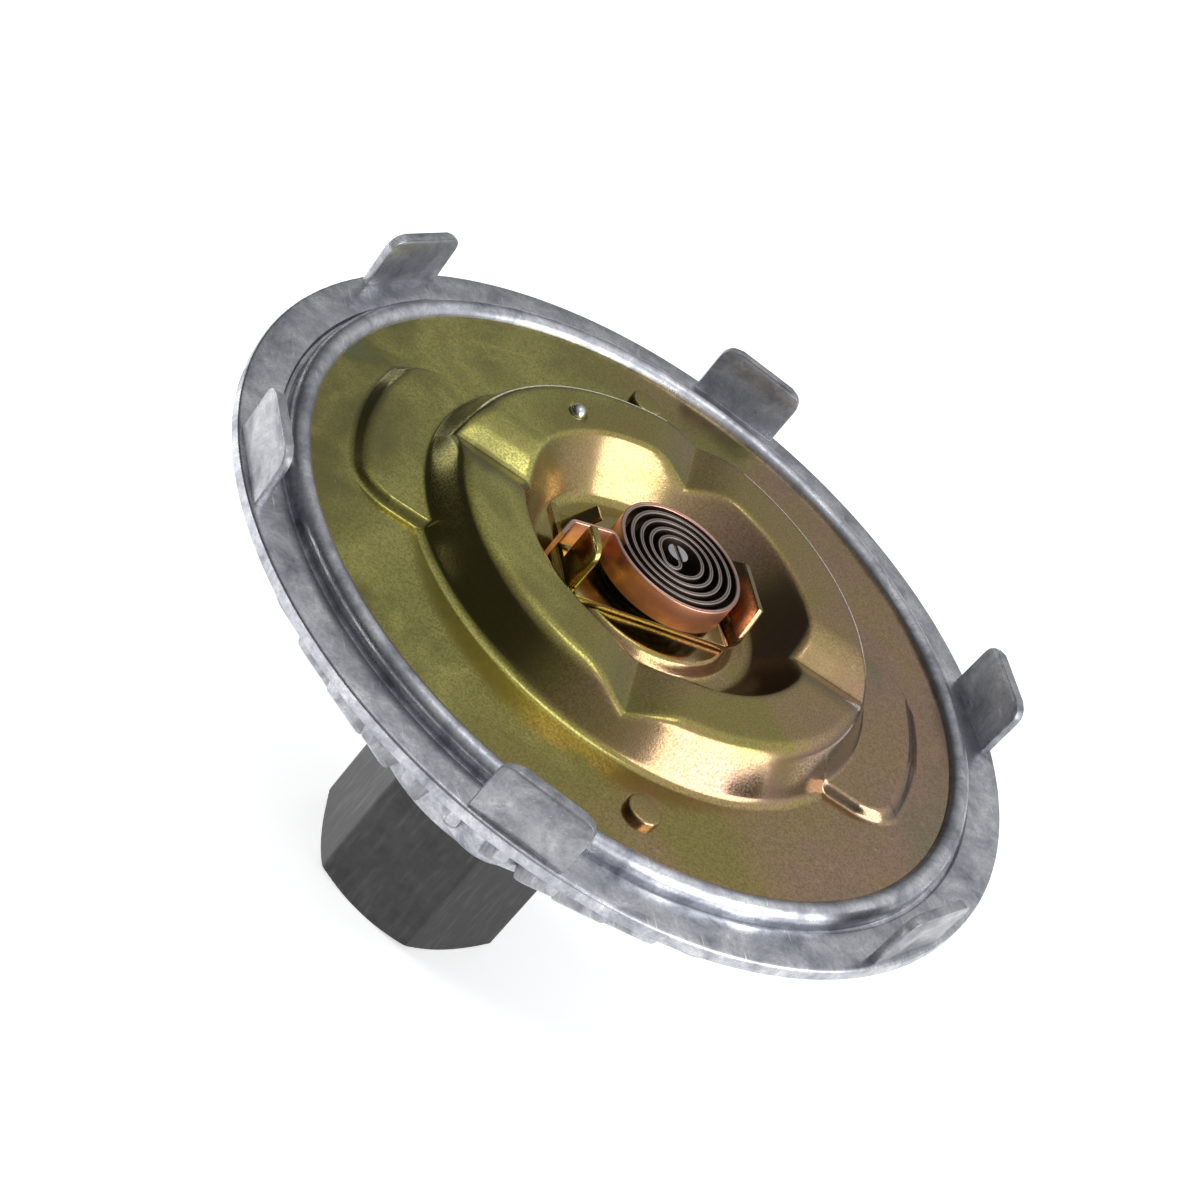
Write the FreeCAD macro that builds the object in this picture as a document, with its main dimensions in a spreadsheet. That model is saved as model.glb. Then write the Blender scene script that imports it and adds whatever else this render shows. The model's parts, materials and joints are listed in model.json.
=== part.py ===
"""Viscous fan clutch: a finned aluminium housing that turns on the bearing of a drive shaft with
an integral hexagon, and a temperature-driven valve behind a pressed steel cover.

Frame: +Z runs along the shaft from the hexagon towards the cover, with z = 0 at the hexagon's rear
face. X and Y lie in the plane of that face. Lengths are in millimetres and angles in degrees.
"""
import FreeCAD, Part
import math
import os
import re

import Sketcher

V = FreeCAD.Vector

# Driving sizes. Each goes into the sheet under its own name.
SIZES = {
    # Drive shaft
    "hex_across": 36.0,
    "hex_length": 29.5,
    "hex_chamfer": 1.6,
    "hex_turn": 47.5,
    "thread_minor_rad": 11.19,
    "thread_depth": 24.0,
    "thread_lead_in": 1.0,
    "collar_rad": 15.4,
    "collar_length": 5.6,
    "nose_rad": 9.5,
    "nose_end": 0.8,
    # Ball bearing
    "bearing_bore_rad": 12.5,
    "bearing_outer_rad": 23.5,
    "bearing_width": 12.0,
    "bearing_ring_wall": 3.1,
    "ball_rad": 3.175,
    "ball_count": 10,
    "race_clearance": 0.02,
    "pocket_clearance": 0.1,
    "cage_wall": 2.0,
    "cage_front": 1.5,
    "cage_back": 0.9,
    "seal_thickness": 0.8,
    "seal_recess": 0.4,
    "seal_rebate": 0.8,
    "seal_lip_gap": 0.1,
    # Snap ring behind the bearing
    "snap_thickness": 1.2,
    "snap_rad": 24.5,
    "snap_bore_rad": 21.8,
    "snap_gap": 6.0,
    "snap_clearance": 0.05,
    # Housing
    "hub_rad": 27.0,
    "hub_overhang": 2.4,
    "hub_cone_start": 10.9,
    "hub_cone_rad": 31.0,
    "hub_cone_length": 10.0,
    "bearing_stop_rad": 21.8,
    "bearing_stop_width": 2.9,
    "bell_depth": 30.6,
    "chamber_rad": 56.0,
    "chamber_chamfer": 3.4,
    "chamber_inner_width": 5.0,
    "floor_wall": 4.0,
    "side_wall": 3.5,
    "flange_width": 8.5,
    "flange_thickness": 2.7,
    "flange_gusset": 4.5,
    "gutter_width": 0.6,
    "gutter_depth": 0.7,
    "plate_seat_width": 12.5,
    "lip_wall": 1.5,
    "lip_height": 3.1,
    "lip_rad": 2.1,
    # Cooling fins
    "fin_count": 46,
    "fin_turn": 2.3,
    "fin_thickness": 2.2,
    "fin_depth": 6.6,
    "fin_root": 1.0,
    "fin_corner_rad": 54.0,
    "fin_rounding": 1.5,
    "fin_shoulder": 10.5,
    "fin_shoulder_drop": 10.8,
    "fin_top": 12.5,
    # Fan bosses
    "boss_count": 4,
    "boss_circle_rad": 47.0,
    "boss_turn": -31.0,
    "boss_rad": 8.5,
    "fan_thread_rad": 2.5,
    "fan_thread_depth": 9.0,
    # Bent tabs
    "tab_count": 6,
    "tab_width": 18.0,
    "tab_height": 11.1,
    "tab_thickness": 1.7,
    "tab_inset": 3.0,
    "tab_lean": 1.5,
    "tab_rounding": 3.0,
    # Pressed cover
    "cover_sheet": 1.5,
    "cover_edge_gap": 1.3,
    "cover_turn": 66.5,
    "ring_foot_rad": 46.0,
    "ring_side_run": 4.7,
    "ring_height": 9.0,
    "bowl_top_rad": 29.8,
    "bowl_floor_rad": 22.4,
    "bowl_floor_drop": 0.5,
    "hub_foot_rad": 18.6,
    "hub_top_rad": 17.0,
    "hub_height": 2.2,
    "groove_depth": 3.0,
    "groove_half_width": 7.0,
    "ear_half_width": 21.5,
    "ear_rad": 58.3,
    "ear_rise": 1.9,
    "button_rad": 3.25,
    "button_circle_rad": 56.0,
    "button_rise": 1.3,
    "button_turn": 100.0,
    "plug_rad": 1.5,
    "plug_circle_rad": 34.5,
    "plug_turn": 135.0,
    "plug_sink": 0.3,
    "plug_clearance": 0.02,
    "seal_ring_section": 1.2,
    "seal_ring_clearance": 0.05,
    # Partition plate and pump
    "plate_thickness": 1.0,
    "plate_dish": 1.6,
    "plate_rim_overlap": 0.5,
    "plate_dish_slope": 1.5,
    "plate_clearance": 0.1,
    "intake_rad": 4.5,
    "intake_circle_rad": 36.0,
    "intake_turn": 20.0,
    "return_rad": 1.0,
    "wiper_width": 1.2,
    "wiper_height": 3.5,
    "wiper_clearance": 0.4,
    "wiper_span": 9.0,
    # Valve
    "valve_rad": 2.0,
    "valve_gap": 0.15,
    "valve_arm_thickness": 0.5,
    "valve_arm_half_width": 5.5,
    "valve_tip_height": 12.3,
    "valve_slot_width": 1.0,
    "valve_slot_depth": 6.2,
    "bush_clearance": 0.03,
    "bush_rad": 4.0,
    "bush_flange_rad": 6.5,
    "bush_flange": 1.0,
    "bush_neck_rad": 3.5,
    "bush_neck": 0.7,
    "bush_stake_rad": 4.6,
    "bush_stake": 0.7,
    "shaft_seal_section": 1.1,
    "shaft_seal_clearance": 0.06,
    # Coil bracket
    "bracket_sheet": 1.2,
    "bracket_half_width": 10.3,
    "bracket_front_reach": 13.2,
    "bracket_front_lean": 2.4,
    "bracket_front_height": 7.6,
    "bracket_back_reach": 19.0,
    "bracket_back_height": 10.0,
    "bracket_front_corner": 5.5,
    "bracket_fork_left": 2.0,
    "bracket_fork_right": 3.0,
    "bracket_fork_depth": 8.4,
    "bracket_prong_cut": 5.0,
    "bracket_clip_height": 6.1,
    "bracket_clip_lean": 4.2,
    # Bimetal coil
    "coil_rad": 13.2,
    "coil_strip": 0.85,
    "coil_width": 5.5,
    "coil_half_turns": 10,
    "coil_inner_rad": 3.4,
    "coil_top": 12.0,
    "coil_tail_reach": 21.0,
    "coil_tail_hook": 5.0,
    "coil_tail_turn": 49.0,
    "coil_bend_rad": 1.2,
    "coil_turn": 5.0,
    # Rotor
    "rotor_edge_gap": 4.3,
    "rotor_gap": 0.8,
    "rotor_web": 4.0,
    "rotor_boss_rad": 26.0,
    "rotor_boss_depth": 4.4,
    "rotor_well_rad": 20.0,
    "insert_rad": 15.0,
    "insert_height": 10.0,
    "insert_flange_rad": 18.5,
    "insert_flange": 1.5,
    "insert_sink": 2.5,
    "land_count": 5,
    "land_pitch": 4.0,
    "land_width": 1.4,
    "land_height": 5.4,
    "land_gap": 0.6,
    "retainer_thickness": 1.0,
    "retainer_rad": 12.0,
    "retainer_groove": 0.6,
    "retainer_clearance": 0.03,
    "retainer_gap": 5.0,
}

# Places that follow from the sizes: heights above the hexagon's rear face, and shared radii.
PLACES = {
    "hex_corner_rad": "hex_across / sqrt(3)",
    "hex_face_rad": "hex_corner_rad - hex_chamfer / tan(30)",
    "bearing_rear": "hex_length + collar_length",
    "bearing_mid": "bearing_rear + 0.5 * bearing_width",
    "bearing_front": "bearing_rear + bearing_width",
    "pitch_rad": "0.5 * (bearing_bore_rad + bearing_outer_rad)",
    "inner_ring_rad": "bearing_bore_rad + bearing_ring_wall",
    "outer_ring_rad": "bearing_outer_rad - bearing_ring_wall",
    "hub_rear": "bearing_rear - hub_overhang",
    "flange_face": "bearing_front + bell_depth",
    "flange_rear": "flange_face - flange_thickness",
    "plate_seat": "flange_face - plate_thickness",
    "plate_top": "flange_face - plate_dish",
    "rotor_top": "plate_top - plate_thickness - rotor_gap",
    "rotor_rear": "rotor_top - rotor_web",
    "chamber_floor": "rotor_rear - land_height - land_gap",
    "wall_rear": "chamber_floor - floor_wall",
    "fin_rear": "wall_rear - fin_depth",
    "insert_top": "rotor_top - insert_sink",
    "insert_rear": "insert_top - insert_height",
    "flat_top": "flange_face + cover_sheet",
    "ring_top": "flat_top + ring_height",
    "bowl_floor": "flat_top - bowl_floor_drop",
    "hub_top": "bowl_floor + hub_height",
    "bell_bend": "tan(22.5)",
    "ring_top_rad": "ring_foot_rad - ring_side_run",
    "ring_bend": "tan(0.5 * atan(ring_height / ring_side_run))",
    "bowl_bend": "tan(0.5 * atan((ring_top - bowl_floor) / (bowl_top_rad - bowl_floor_rad)))",
    "hub_bend": "tan(0.5 * atan(hub_height / (hub_foot_rad - hub_top_rad)))",
    "groove_lean": "sqrt(1 + (groove_depth / groove_half_width) ^ 2)",
    "arm_bottom": "plate_top + valve_gap",
    "strap_top": "hub_top + bracket_sheet",
    "bush_flange_top": "strap_top + bush_flange",
    "bush_top": "bush_flange_top + bush_neck",
    "hub_underside": "hub_top - cover_sheet",
    "bush_bottom": "hub_underside - bush_stake",
    "valve_tip": "flange_face + valve_tip_height",
    "coil_top_z": "flange_face + coil_top",
    "coil_bottom_z": "coil_top_z - coil_width",
    "snap_front": "bearing_rear - snap_clearance",
    "snap_rear": "snap_front - snap_thickness",
    "bell_rad": "chamber_rad + side_wall",
    "flange_root_rad": "bell_rad + flange_gusset",
    "recess_rad": "chamber_rad + plate_seat_width",
    "cover_rad": "recess_rad - cover_edge_gap",
    "lip_edge_rad": "recess_rad + lip_wall",
    "flange_rad": "lip_edge_rad + flange_width",
    "fin_shoulder_rad": "bell_rad + fin_shoulder",
    "fin_top_rad": "bell_rad + fin_top",
    "rotor_rad": "chamber_rad - rotor_edge_gap",
    "land_first_rad": "rotor_rad - 0.5 * land_width - (land_count - 0.5) * land_pitch",
    "chamber_inner_rad": "land_first_rad - chamber_inner_width",
    "plate_rim_inner_rad": "chamber_rad - plate_rim_overlap",
    "plate_dish_rad": "plate_rim_inner_rad - plate_dish_slope",
    "lip_mid_rad": "lip_edge_rad - lip_rad",
    "lip_mid_z": "flange_face + lip_height - lip_rad",
    "lip_inner_rad": "lip_mid_rad - sqrt(lip_rad ^ 2 - (flat_top - lip_mid_z) ^ 2)",
    "return_circle_rad": "rotor_rad + wiper_clearance + 0.5 * wiper_width",
    "dish_bend": "tan(0.5 * atan(plate_dish / (plate_rim_inner_rad - plate_dish_rad)))",
}

doc = FreeCAD.newDocument("fan_clutch")
sheet = doc.addObject("Spreadsheet::Sheet", "Sizes")
places = doc.addObject("App::VarSet", "Places")


def bound(expression):
    """The expression with each size and place led by the object that holds it."""
    def lead(match):
        word = match.group(0)
        if word in SIZES:
            return "Sizes." + word
        if word in PLACES:
            return "Places." + word
        return word
    return re.sub(r"[a-z_]+", lead, expression)


def value(expression):
    """The number that an expression has in the document now."""
    result = places.evalExpression(bound(expression))
    return float(getattr(result, "Value", result))


def fill_sheet():
    """Write the sizes into the sheet and the places into their own set."""
    for row, (name, number) in enumerate(SIZES.items(), start=1):
        sheet.set(f"A{row}", name)
        sheet.set(f"B{row}", str(number))
        sheet.setAlias(f"B{row}", name)
    doc.recompute()
    for name, expression in PLACES.items():
        places.addProperty("App::PropertyFloat", name)
        places.setExpression(name, bound(expression))
        doc.recompute()


def bind(thing, prop, expression):
    thing.setExpression(prop, bound(expression))


def new_body(label):
    body = doc.addObject("PartDesign::Body", label)
    body.Label = label
    return body


def origin_item(body, role):
    """One plane or axis of the body's own origin."""
    return [item for item in body.Origin.OriginFeatures if item.Role == role][0]


def new_sketch(body, name, role="XZ_Plane", height=None):
    """A sketch on one of the body's own planes, raised along its normal by height."""
    plane = origin_item(body, role)
    sketch = body.newObject("Sketcher::SketchObject", name)
    sketch.AttachmentSupport = (plane, [""])
    sketch.MapMode = "FlatFace"
    if height is not None:
        bind(sketch, ".AttachmentOffset.Base.z", height)
    return sketch


def pin(sketch, index, end, across, up):
    """Hold one point of the sketch at two expressions."""
    for kind, expression in (("DistanceX", across), ("DistanceY", up)):
        if expression is None:
            continue
        distance = Sketcher.Constraint(kind, -1, 1, index, end, value(expression))
        number = sketch.addConstraint(distance)
        bind(sketch, f"Constraints[{number}]", expression)


def outline(sketch, points):
    """A closed outline. A point is (x, y), or (x, y, cx, cy) where an arc about cx, cy follows."""
    first = sketch.GeometryCount
    spots = [V(value(point[0]), value(point[1]), 0) for point in points]
    ends = []
    for number, point in enumerate(points):
        start = spots[number]
        stop = spots[(number + 1) % len(points)]
        if len(point) == 2:
            sketch.addGeometry(Part.LineSegment(start, stop))
            ends.append((1, 2))
            continue
        middle = V(value(point[2]), value(point[3]), 0)
        turns_left = (start - middle).cross(stop - middle).z > -1e-6
        low, high = (start, stop) if turns_left else (stop, start)
        angles = [math.atan2(spot.y - middle.y, spot.x - middle.x) for spot in (low, high)]
        circle = Part.Circle(middle, V(0, 0, 1), (start - middle).Length)
        sketch.addGeometry(Part.ArcOfCircle(circle, angles[0], angles[1]))
        ends.append((1, 2) if turns_left else (2, 1))
    for number, point in enumerate(points):
        index = first + number
        following = (number + 1) % len(points)
        joint = Sketcher.Constraint("Coincident", index, ends[number][1],
                                    first + following, ends[following][0])
        sketch.addConstraint(joint)
        pin(sketch, index, ends[number][0], point[0], point[1])
        if len(point) == 4:
            chord = spots[following] - spots[number]
            level = abs(chord.x) > abs(chord.y)
            pin(sketch, index, 3, None if level else point[2], point[3] if level else None)


def ring_of(sketch, across, up, radius):
    """A full circle in the sketch."""
    circle = Part.Circle(V(value(across), value(up), 0), V(0, 0, 1), value(radius))
    index = sketch.addGeometry(circle)
    pin(sketch, index, 3, across, up)
    number = sketch.addConstraint(Sketcher.Constraint("Radius", index, value(radius)))
    bind(sketch, f"Constraints[{number}]", radius)


def revolve(body, sketch, kind="PartDesign::Revolution", angle="360"):
    feature = body.newObject(kind, sketch.Name + "_turned")
    feature.Profile = sketch
    feature.ReferenceAxis = (sketch, ["V_Axis"])
    bind(feature, "Angle", angle)
    doc.recompute()
    return feature


def pad(body, sketch, length, both_ways=False):
    feature = body.newObject("PartDesign::Pad", sketch.Name + "_pad")
    feature.Profile = sketch
    feature.Midplane = both_ways
    bind(feature, "Length", length)
    doc.recompute()
    return feature


def pocket(body, sketch, length, both_ways=False):
    """Cut the sketch into the body, on the side where it removes material."""
    before = body.Shape.Volume
    feature = body.newObject("PartDesign::Pocket", sketch.Name + "_pocket")
    feature.Profile = sketch
    feature.Midplane = both_ways
    bind(feature, "Length", length)
    doc.recompute()
    if not both_ways and body.Shape.Volume > before - 1e-6:
        feature.Reversed = True
        doc.recompute()
    if body.Shape.Volume > before - 1e-6:
        raise ValueError(sketch.Name + " cuts nothing")
    return feature


def around(body, feature, count, angle="360"):
    """Repeat a feature about the Z axis."""
    pattern = body.newObject("PartDesign::PolarPattern", feature.Name + "_pattern")
    pattern.Originals = [feature]
    pattern.Axis = (origin_item(body, "Z_Axis"), [""])
    bind(pattern, "Angle", angle)
    bind(pattern, "Occurrences", count)
    body.Tip = pattern
    doc.recompute()
    return pattern


def turned(label, points, name="section"):
    """A body turned about Z from one outline of (radius, height) points."""
    body = new_body(label)
    sketch = new_sketch(body, label + "_" + name)
    outline(sketch, points)
    revolve(body, sketch)
    return body


def rectangle(inner, outer, bottom, top):
    return [(inner, bottom), (outer, bottom), (outer, top), (inner, top)]


def cylinder(label, radius, bottom, height, across="0", turn=None):
    """A plain cylinder along Z, off the axis by across in the direction turn."""
    rod = doc.addObject("Part::Cylinder", label)
    bind(rod, "Radius", radius)
    bind(rod, "Height", height)
    place(rod, across, turn, bottom)
    return rod


def place(thing, across, turn, height):
    """Put a thing at a radius and a direction about Z, at a height."""
    direction = turn or "0"
    bind(thing, ".Placement.Base.x", f"({across}) * cos({direction})")
    bind(thing, ".Placement.Base.y", f"({across}) * sin({direction})")
    bind(thing, ".Placement.Base.z", height)


def turn_about_z(thing, direction):
    thing.Placement = FreeCAD.Placement(V(0, 0, 0), FreeCAD.Rotation(V(0, 0, 1), 1))
    bind(thing, ".Placement.Rotation.Angle", direction)


def cut(label, base, tools):
    """The base with every tool taken away."""
    tool = tools[0]
    if len(tools) > 1:
        tool = doc.addObject("Part::MultiFuse", label + "_tools")
        tool.Shapes = tools
    result = doc.addObject("Part::Cut", label)
    result.Base = base
    result.Tool = tool
    result.Label = label
    doc.recompute()
    return result


# Drive shaft

def make_drive_shaft():
    """Threaded nut, collar, bearing seat and stepped nose, turned from one bar."""
    body = turned("drive_shaft", [
        ("thread_minor_rad + thread_lead_in", "0"),
        ("hex_face_rad", "0"),
        ("hex_corner_rad", "hex_chamfer"),
        ("hex_corner_rad", "hex_length - hex_chamfer"),
        ("hex_face_rad", "hex_length"),
        ("collar_rad", "hex_length"),
        ("collar_rad", "bearing_rear"),
        ("bearing_bore_rad", "bearing_rear"),
        ("bearing_bore_rad", "insert_rear"),
        ("nose_rad", "insert_rear"),
        ("nose_rad", "insert_top"),
        ("nose_rad - retainer_groove", "insert_top"),
        ("nose_rad - retainer_groove", "insert_top + retainer_thickness"),
        ("nose_rad", "insert_top + retainer_thickness"),
        ("nose_rad - 0.5 * nose_end", "insert_top + retainer_thickness + nose_end"),
        ("0", "insert_top + retainer_thickness + nose_end"),
        ("0", "thread_depth"),
        ("thread_minor_rad", "thread_depth"),
        ("thread_minor_rad", "thread_lead_in"),
    ])
    flats = new_sketch(body, "hex_flats", "XY_Plane")
    corners = [f"hex_turn + {60 * number}" for number in range(6)]
    outline(flats, [(f"hex_corner_rad * cos({turn})", f"hex_corner_rad * sin({turn})")
                    for turn in corners])
    ring_of(flats, "0", "0", "hex_corner_rad + hex_chamfer")
    pocket(body, flats, "hex_length")
    return body


# Ball bearing

def race(body):
    """Cut the ball track into a bearing ring."""
    track = new_sketch(body, body.Label + "_track")
    ring_of(track, "pitch_rad", "bearing_mid", "ball_rad + race_clearance")
    revolve(body, track, "PartDesign::Groove")
    return body


def make_bearing_rings():
    inner = turned("bearing_inner_ring", rectangle(
        "bearing_bore_rad", "inner_ring_rad", "bearing_rear", "bearing_front"))
    rebate = "outer_ring_rad + seal_rebate"
    depth = "seal_recess + seal_thickness"
    outer = turned("bearing_outer_ring", [
        (rebate, "bearing_rear"),
        ("bearing_outer_rad", "bearing_rear"),
        ("bearing_outer_rad", "bearing_front"),
        (rebate, "bearing_front"),
        (rebate, f"bearing_front - ({depth})"),
        ("outer_ring_rad", f"bearing_front - ({depth})"),
        ("outer_ring_rad", f"bearing_rear + {depth}"),
        (rebate, f"bearing_rear + {depth}"),
    ])
    return [race(inner), race(outer)]


def make_bearing_seals():
    bore = "inner_ring_rad + seal_lip_gap"
    edge = "outer_ring_rad + seal_rebate"
    rear = turned("bearing_seal_rear", rectangle(
        bore, edge, "bearing_rear + seal_recess", "bearing_rear + seal_recess + seal_thickness"))
    front = turned("bearing_seal_front", rectangle(
        bore, edge, "bearing_front - seal_recess - seal_thickness",
        "bearing_front - seal_recess"))
    return [rear, front]


def spheres(prefix, radius):
    """One sphere for each ball of the bearing."""
    made = []
    for number in range(int(value("ball_count"))):
        ball = doc.addObject("Part::Sphere", f"{prefix}_{number + 1}")
        bind(ball, "Radius", radius)
        place(ball, "pitch_rad", f"360 * {number} / ball_count", "bearing_mid")
        made.append(ball)
    return made


def make_balls():
    group = doc.addObject("Part::Compound", "bearing_balls")
    group.Links = spheres("ball", "ball_rad")
    return group


def make_cage():
    """A crown cage, open towards the front so that it snaps over the balls."""
    blank = turned("cage_blank", rectangle(
        "pitch_rad - 0.5 * cage_wall", "pitch_rad + 0.5 * cage_wall",
        "bearing_mid - ball_rad - cage_back", "bearing_mid + cage_front"))
    return cut("bearing_cage", blank, spheres("pocket", "ball_rad + pocket_clearance"))


def open_ring(label, inner, outer, bottom, thickness, gap):
    """A flat ring with a gap in it, as a snap ring has."""
    blank = turned(label + "_blank", rectangle(inner, outer, bottom, f"{bottom} + {thickness}"))
    slot = doc.addObject("Part::Box", label + "_slot")
    bind(slot, "Length", f"2 * ({outer})")
    bind(slot, "Width", gap)
    bind(slot, "Height", f"3 * {thickness}")
    bind(slot, ".Placement.Base.y", f"-0.5 * {gap}")
    bind(slot, ".Placement.Base.z", f"{bottom} - {thickness}")
    return cut(label, blank, [slot])


# Housing

def housing_section():
    """Hub, bell, flange and rolled lip, as one outline."""
    return [
        ("bearing_outer_rad", "hub_rear"),
        ("hub_rad", "hub_rear"),
        ("hub_rad", "bearing_rear + hub_cone_start"),
        ("hub_cone_rad", "bearing_rear + hub_cone_start + hub_cone_length"),
        ("hub_cone_rad + floor_wall", "wall_rear"),
        ("chamber_rad - chamber_chamfer + bell_bend * floor_wall", "wall_rear"),
        ("bell_rad", "chamber_floor + chamber_chamfer - bell_bend * side_wall"),
        ("bell_rad", "flange_rear - flange_gusset"),
        ("flange_root_rad", "flange_rear"),
        ("flange_rad", "flange_rear"),
        ("flange_rad", "flange_face"),
        ("lip_edge_rad + gutter_width", "flange_face"),
        ("lip_edge_rad + gutter_width", "flange_face - gutter_depth"),
        ("lip_edge_rad", "flange_face - gutter_depth"),
        ("lip_edge_rad", "lip_mid_z", "lip_mid_rad", "lip_mid_z"),
        ("lip_inner_rad", "flat_top"),
        ("recess_rad", "flat_top"),
        ("recess_rad", "plate_seat"),
        ("chamber_rad", "plate_seat"),
        ("chamber_rad", "chamber_floor + chamber_chamfer"),
        ("chamber_rad - chamber_chamfer", "chamber_floor"),
        ("chamber_inner_rad", "chamber_floor"),
        ("bearing_stop_rad", "bearing_front + bearing_stop_width"),
        ("bearing_stop_rad", "bearing_front"),
        ("bearing_outer_rad", "bearing_front"),
        ("bearing_outer_rad", "bearing_rear"),
        ("snap_rad + snap_clearance", "bearing_rear"),
        ("snap_rad + snap_clearance", "snap_rear - snap_clearance"),
        ("bearing_outer_rad", "snap_rear - snap_clearance"),
    ]


def add_lands(body, name, first, count, bottom, top):
    """Concentric rings of the fluid coupling, turned from one sketch."""
    sketch = new_sketch(body, name)
    for number in range(count):
        middle = f"({first} + {number} * land_pitch)"
        outline(sketch, rectangle(f"{middle} - 0.5 * land_width",
                                  f"{middle} + 0.5 * land_width", bottom, top))
    return revolve(body, sketch)


def add_fins(body):
    """Radial cooling fins behind the bell, with rounded outer corners."""
    sketch = new_sketch(body, "fin_outline")
    sketch.AttachmentOffset = FreeCAD.Placement(V(0, 0, 0), FreeCAD.Rotation(V(0, 1, 0), 1))
    bind(sketch, ".AttachmentOffset.Rotation.Angle", "fin_turn")
    inside = "chamber_rad + 0.6 * side_wall"
    outline(sketch, [
        ("hub_rad + fin_root", "fin_rear"),
        ("fin_corner_rad - fin_rounding", "fin_rear", "fin_corner_rad - fin_rounding",
         "fin_rear + fin_rounding"),
        ("fin_corner_rad", "fin_rear + fin_rounding"),
        ("fin_shoulder_rad", "flange_face - fin_shoulder_drop"),
        ("fin_top_rad", "flange_rear + 0.5 * flange_thickness"),
        (inside, "flange_rear - 0.5 * flange_thickness"),
        (inside, "chamber_floor + chamber_chamfer"),
        ("chamber_rad - chamber_chamfer", "wall_rear + 0.5 * floor_wall"),
        ("hub_cone_rad + 2 * floor_wall", "wall_rear + 0.5 * floor_wall"),
        ("hub_rad + 2 * fin_root", "fin_rear + floor_wall"),
    ])
    fin = pad(body, sketch, "fin_thickness", both_ways=True)
    around(body, fin, "fin_count")


def add_bosses(body):
    """Bosses for the fan's screws, level with the fins."""
    sketch = new_sketch(body, "boss_circle", "XY_Plane", "fin_rear")
    ring_of(sketch, "boss_circle_rad * cos(boss_turn)", "boss_circle_rad * sin(boss_turn)",
            "boss_rad")
    boss = pad(body, sketch, "fin_depth + 0.5 * floor_wall")
    around(body, boss, "boss_count")


def add_tabs(body):
    """Tabs bent up from the flange's edge, leaning outward a little."""
    sketch = new_sketch(body, "tab_outline")
    sketch.AttachmentOffset = FreeCAD.Placement(V(0, 0, 0), FreeCAD.Rotation(V(1, 0, 0), 1))
    bind(sketch, ".AttachmentOffset.Rotation.Angle", "tab_lean")
    bind(sketch, ".AttachmentOffset.Base.y", "flange_face - 0.5 * flange_thickness")
    bind(sketch, ".AttachmentOffset.Base.z", "flange_rad - tab_inset")
    half = "0.5 * tab_width"
    top = "(tab_height + 0.5 * flange_thickness) / cos(tab_lean)"
    outline(sketch, [
        (f"-{half}", "0"),
        (half, "0"),
        (half, f"{top} - tab_rounding", f"{half} - tab_rounding", f"{top} - tab_rounding"),
        (f"{half} - tab_rounding", top),
        (f"-{half} + tab_rounding", top, f"-{half} + tab_rounding", f"{top} - tab_rounding"),
        (f"-{half}", f"{top} - tab_rounding"),
    ])
    tab = pad(body, sketch, "tab_thickness")
    around(body, tab, "tab_count")


def fan_threads():
    """One threaded hole in each boss."""
    return [cylinder(f"fan_thread_{number + 1}", "fan_thread_rad", "fin_rear",
                     "fan_thread_depth", "boss_circle_rad",
                     f"boss_turn + 360 * {number} / boss_count")
            for number in range(int(value("boss_count")))]


def make_housing():
    """The casting: hub, bell, flange, lip, lands, bosses, tabs and fins in one."""
    body = new_body("housing_casting")
    sketch = new_sketch(body, "housing_section")
    outline(sketch, housing_section())
    revolve(body, sketch)
    add_lands(body, "housing_lands", "land_first_rad", int(value("land_count")),
              "chamber_floor - 0.5 * floor_wall", "chamber_floor + land_height")
    add_bosses(body)
    add_tabs(body)
    add_fins(body)
    return cut("housing", body, fan_threads())


# Pressed cover

def cover_form(label, base, edge, drop):
    """A solid under one face of the pressed sheet, drop below the sheet's front face.

    The drop moves level faces down. A wall between two of them moves by the drop times the
    tangent of half its slope, so that the sheet keeps its thickness.
    """
    ring = f"({drop}) * ring_bend"
    bowl = f"({drop}) * bowl_bend"
    hub = f"({drop}) * hub_bend"
    body = new_body(label)
    sketch = new_sketch(body, label + "_section")
    outline(sketch, [
        ("0", base),
        (edge, base),
        (edge, f"flat_top - {drop}"),
        (f"ring_foot_rad - {ring}", f"flat_top - {drop}"),
        (f"ring_top_rad - {ring}", f"ring_top - {drop}"),
        (f"bowl_top_rad + {bowl}", f"ring_top - {drop}"),
        (f"bowl_floor_rad + {bowl}", f"bowl_floor - {drop}"),
        (f"hub_foot_rad - {hub}", f"bowl_floor - {drop}"),
        (f"hub_top_rad - {hub}", f"hub_top - {drop}"),
        ("0", f"hub_top - {drop}"),
    ])
    revolve(body, sketch)
    add_ears(body, label, base, drop)
    add_buttons(body, label, base, drop)
    cut_grooves(body, label, drop)
    return body


def add_ears(body, label, base, drop):
    """Two flat pads that stand a little above the cover's flat, beside the ring."""
    side = f"(ear_half_width - {drop})"
    rim = f"(ear_rad - {drop})"
    corner = f"sqrt({rim} ^ 2 - {side} ^ 2)"
    sketch = new_sketch(body, label + "_ear", "XY_Plane", base)
    outline(sketch, [
        ("bowl_top_rad + 2 * cover_sheet", f"-{side}"),
        (corner, f"-{side}", "0", "0"),
        (corner, side),
        ("bowl_top_rad + 2 * cover_sheet", side),
    ])
    ear = pad(body, sketch, f"flat_top + ear_rise - {drop} - ({base})")
    around(body, ear, "2")


def add_buttons(body, label, base, drop):
    """Two round buttons on the flat."""
    sketch = new_sketch(body, label + "_button", "XY_Plane", base)
    ring_of(sketch, "button_circle_rad * cos(button_turn)",
            "button_circle_rad * sin(button_turn)", f"button_rad - 0.6 * {drop}")
    button = pad(body, sketch, f"flat_top + button_rise - {drop} - ({base})")
    around(body, button, "2")


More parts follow.
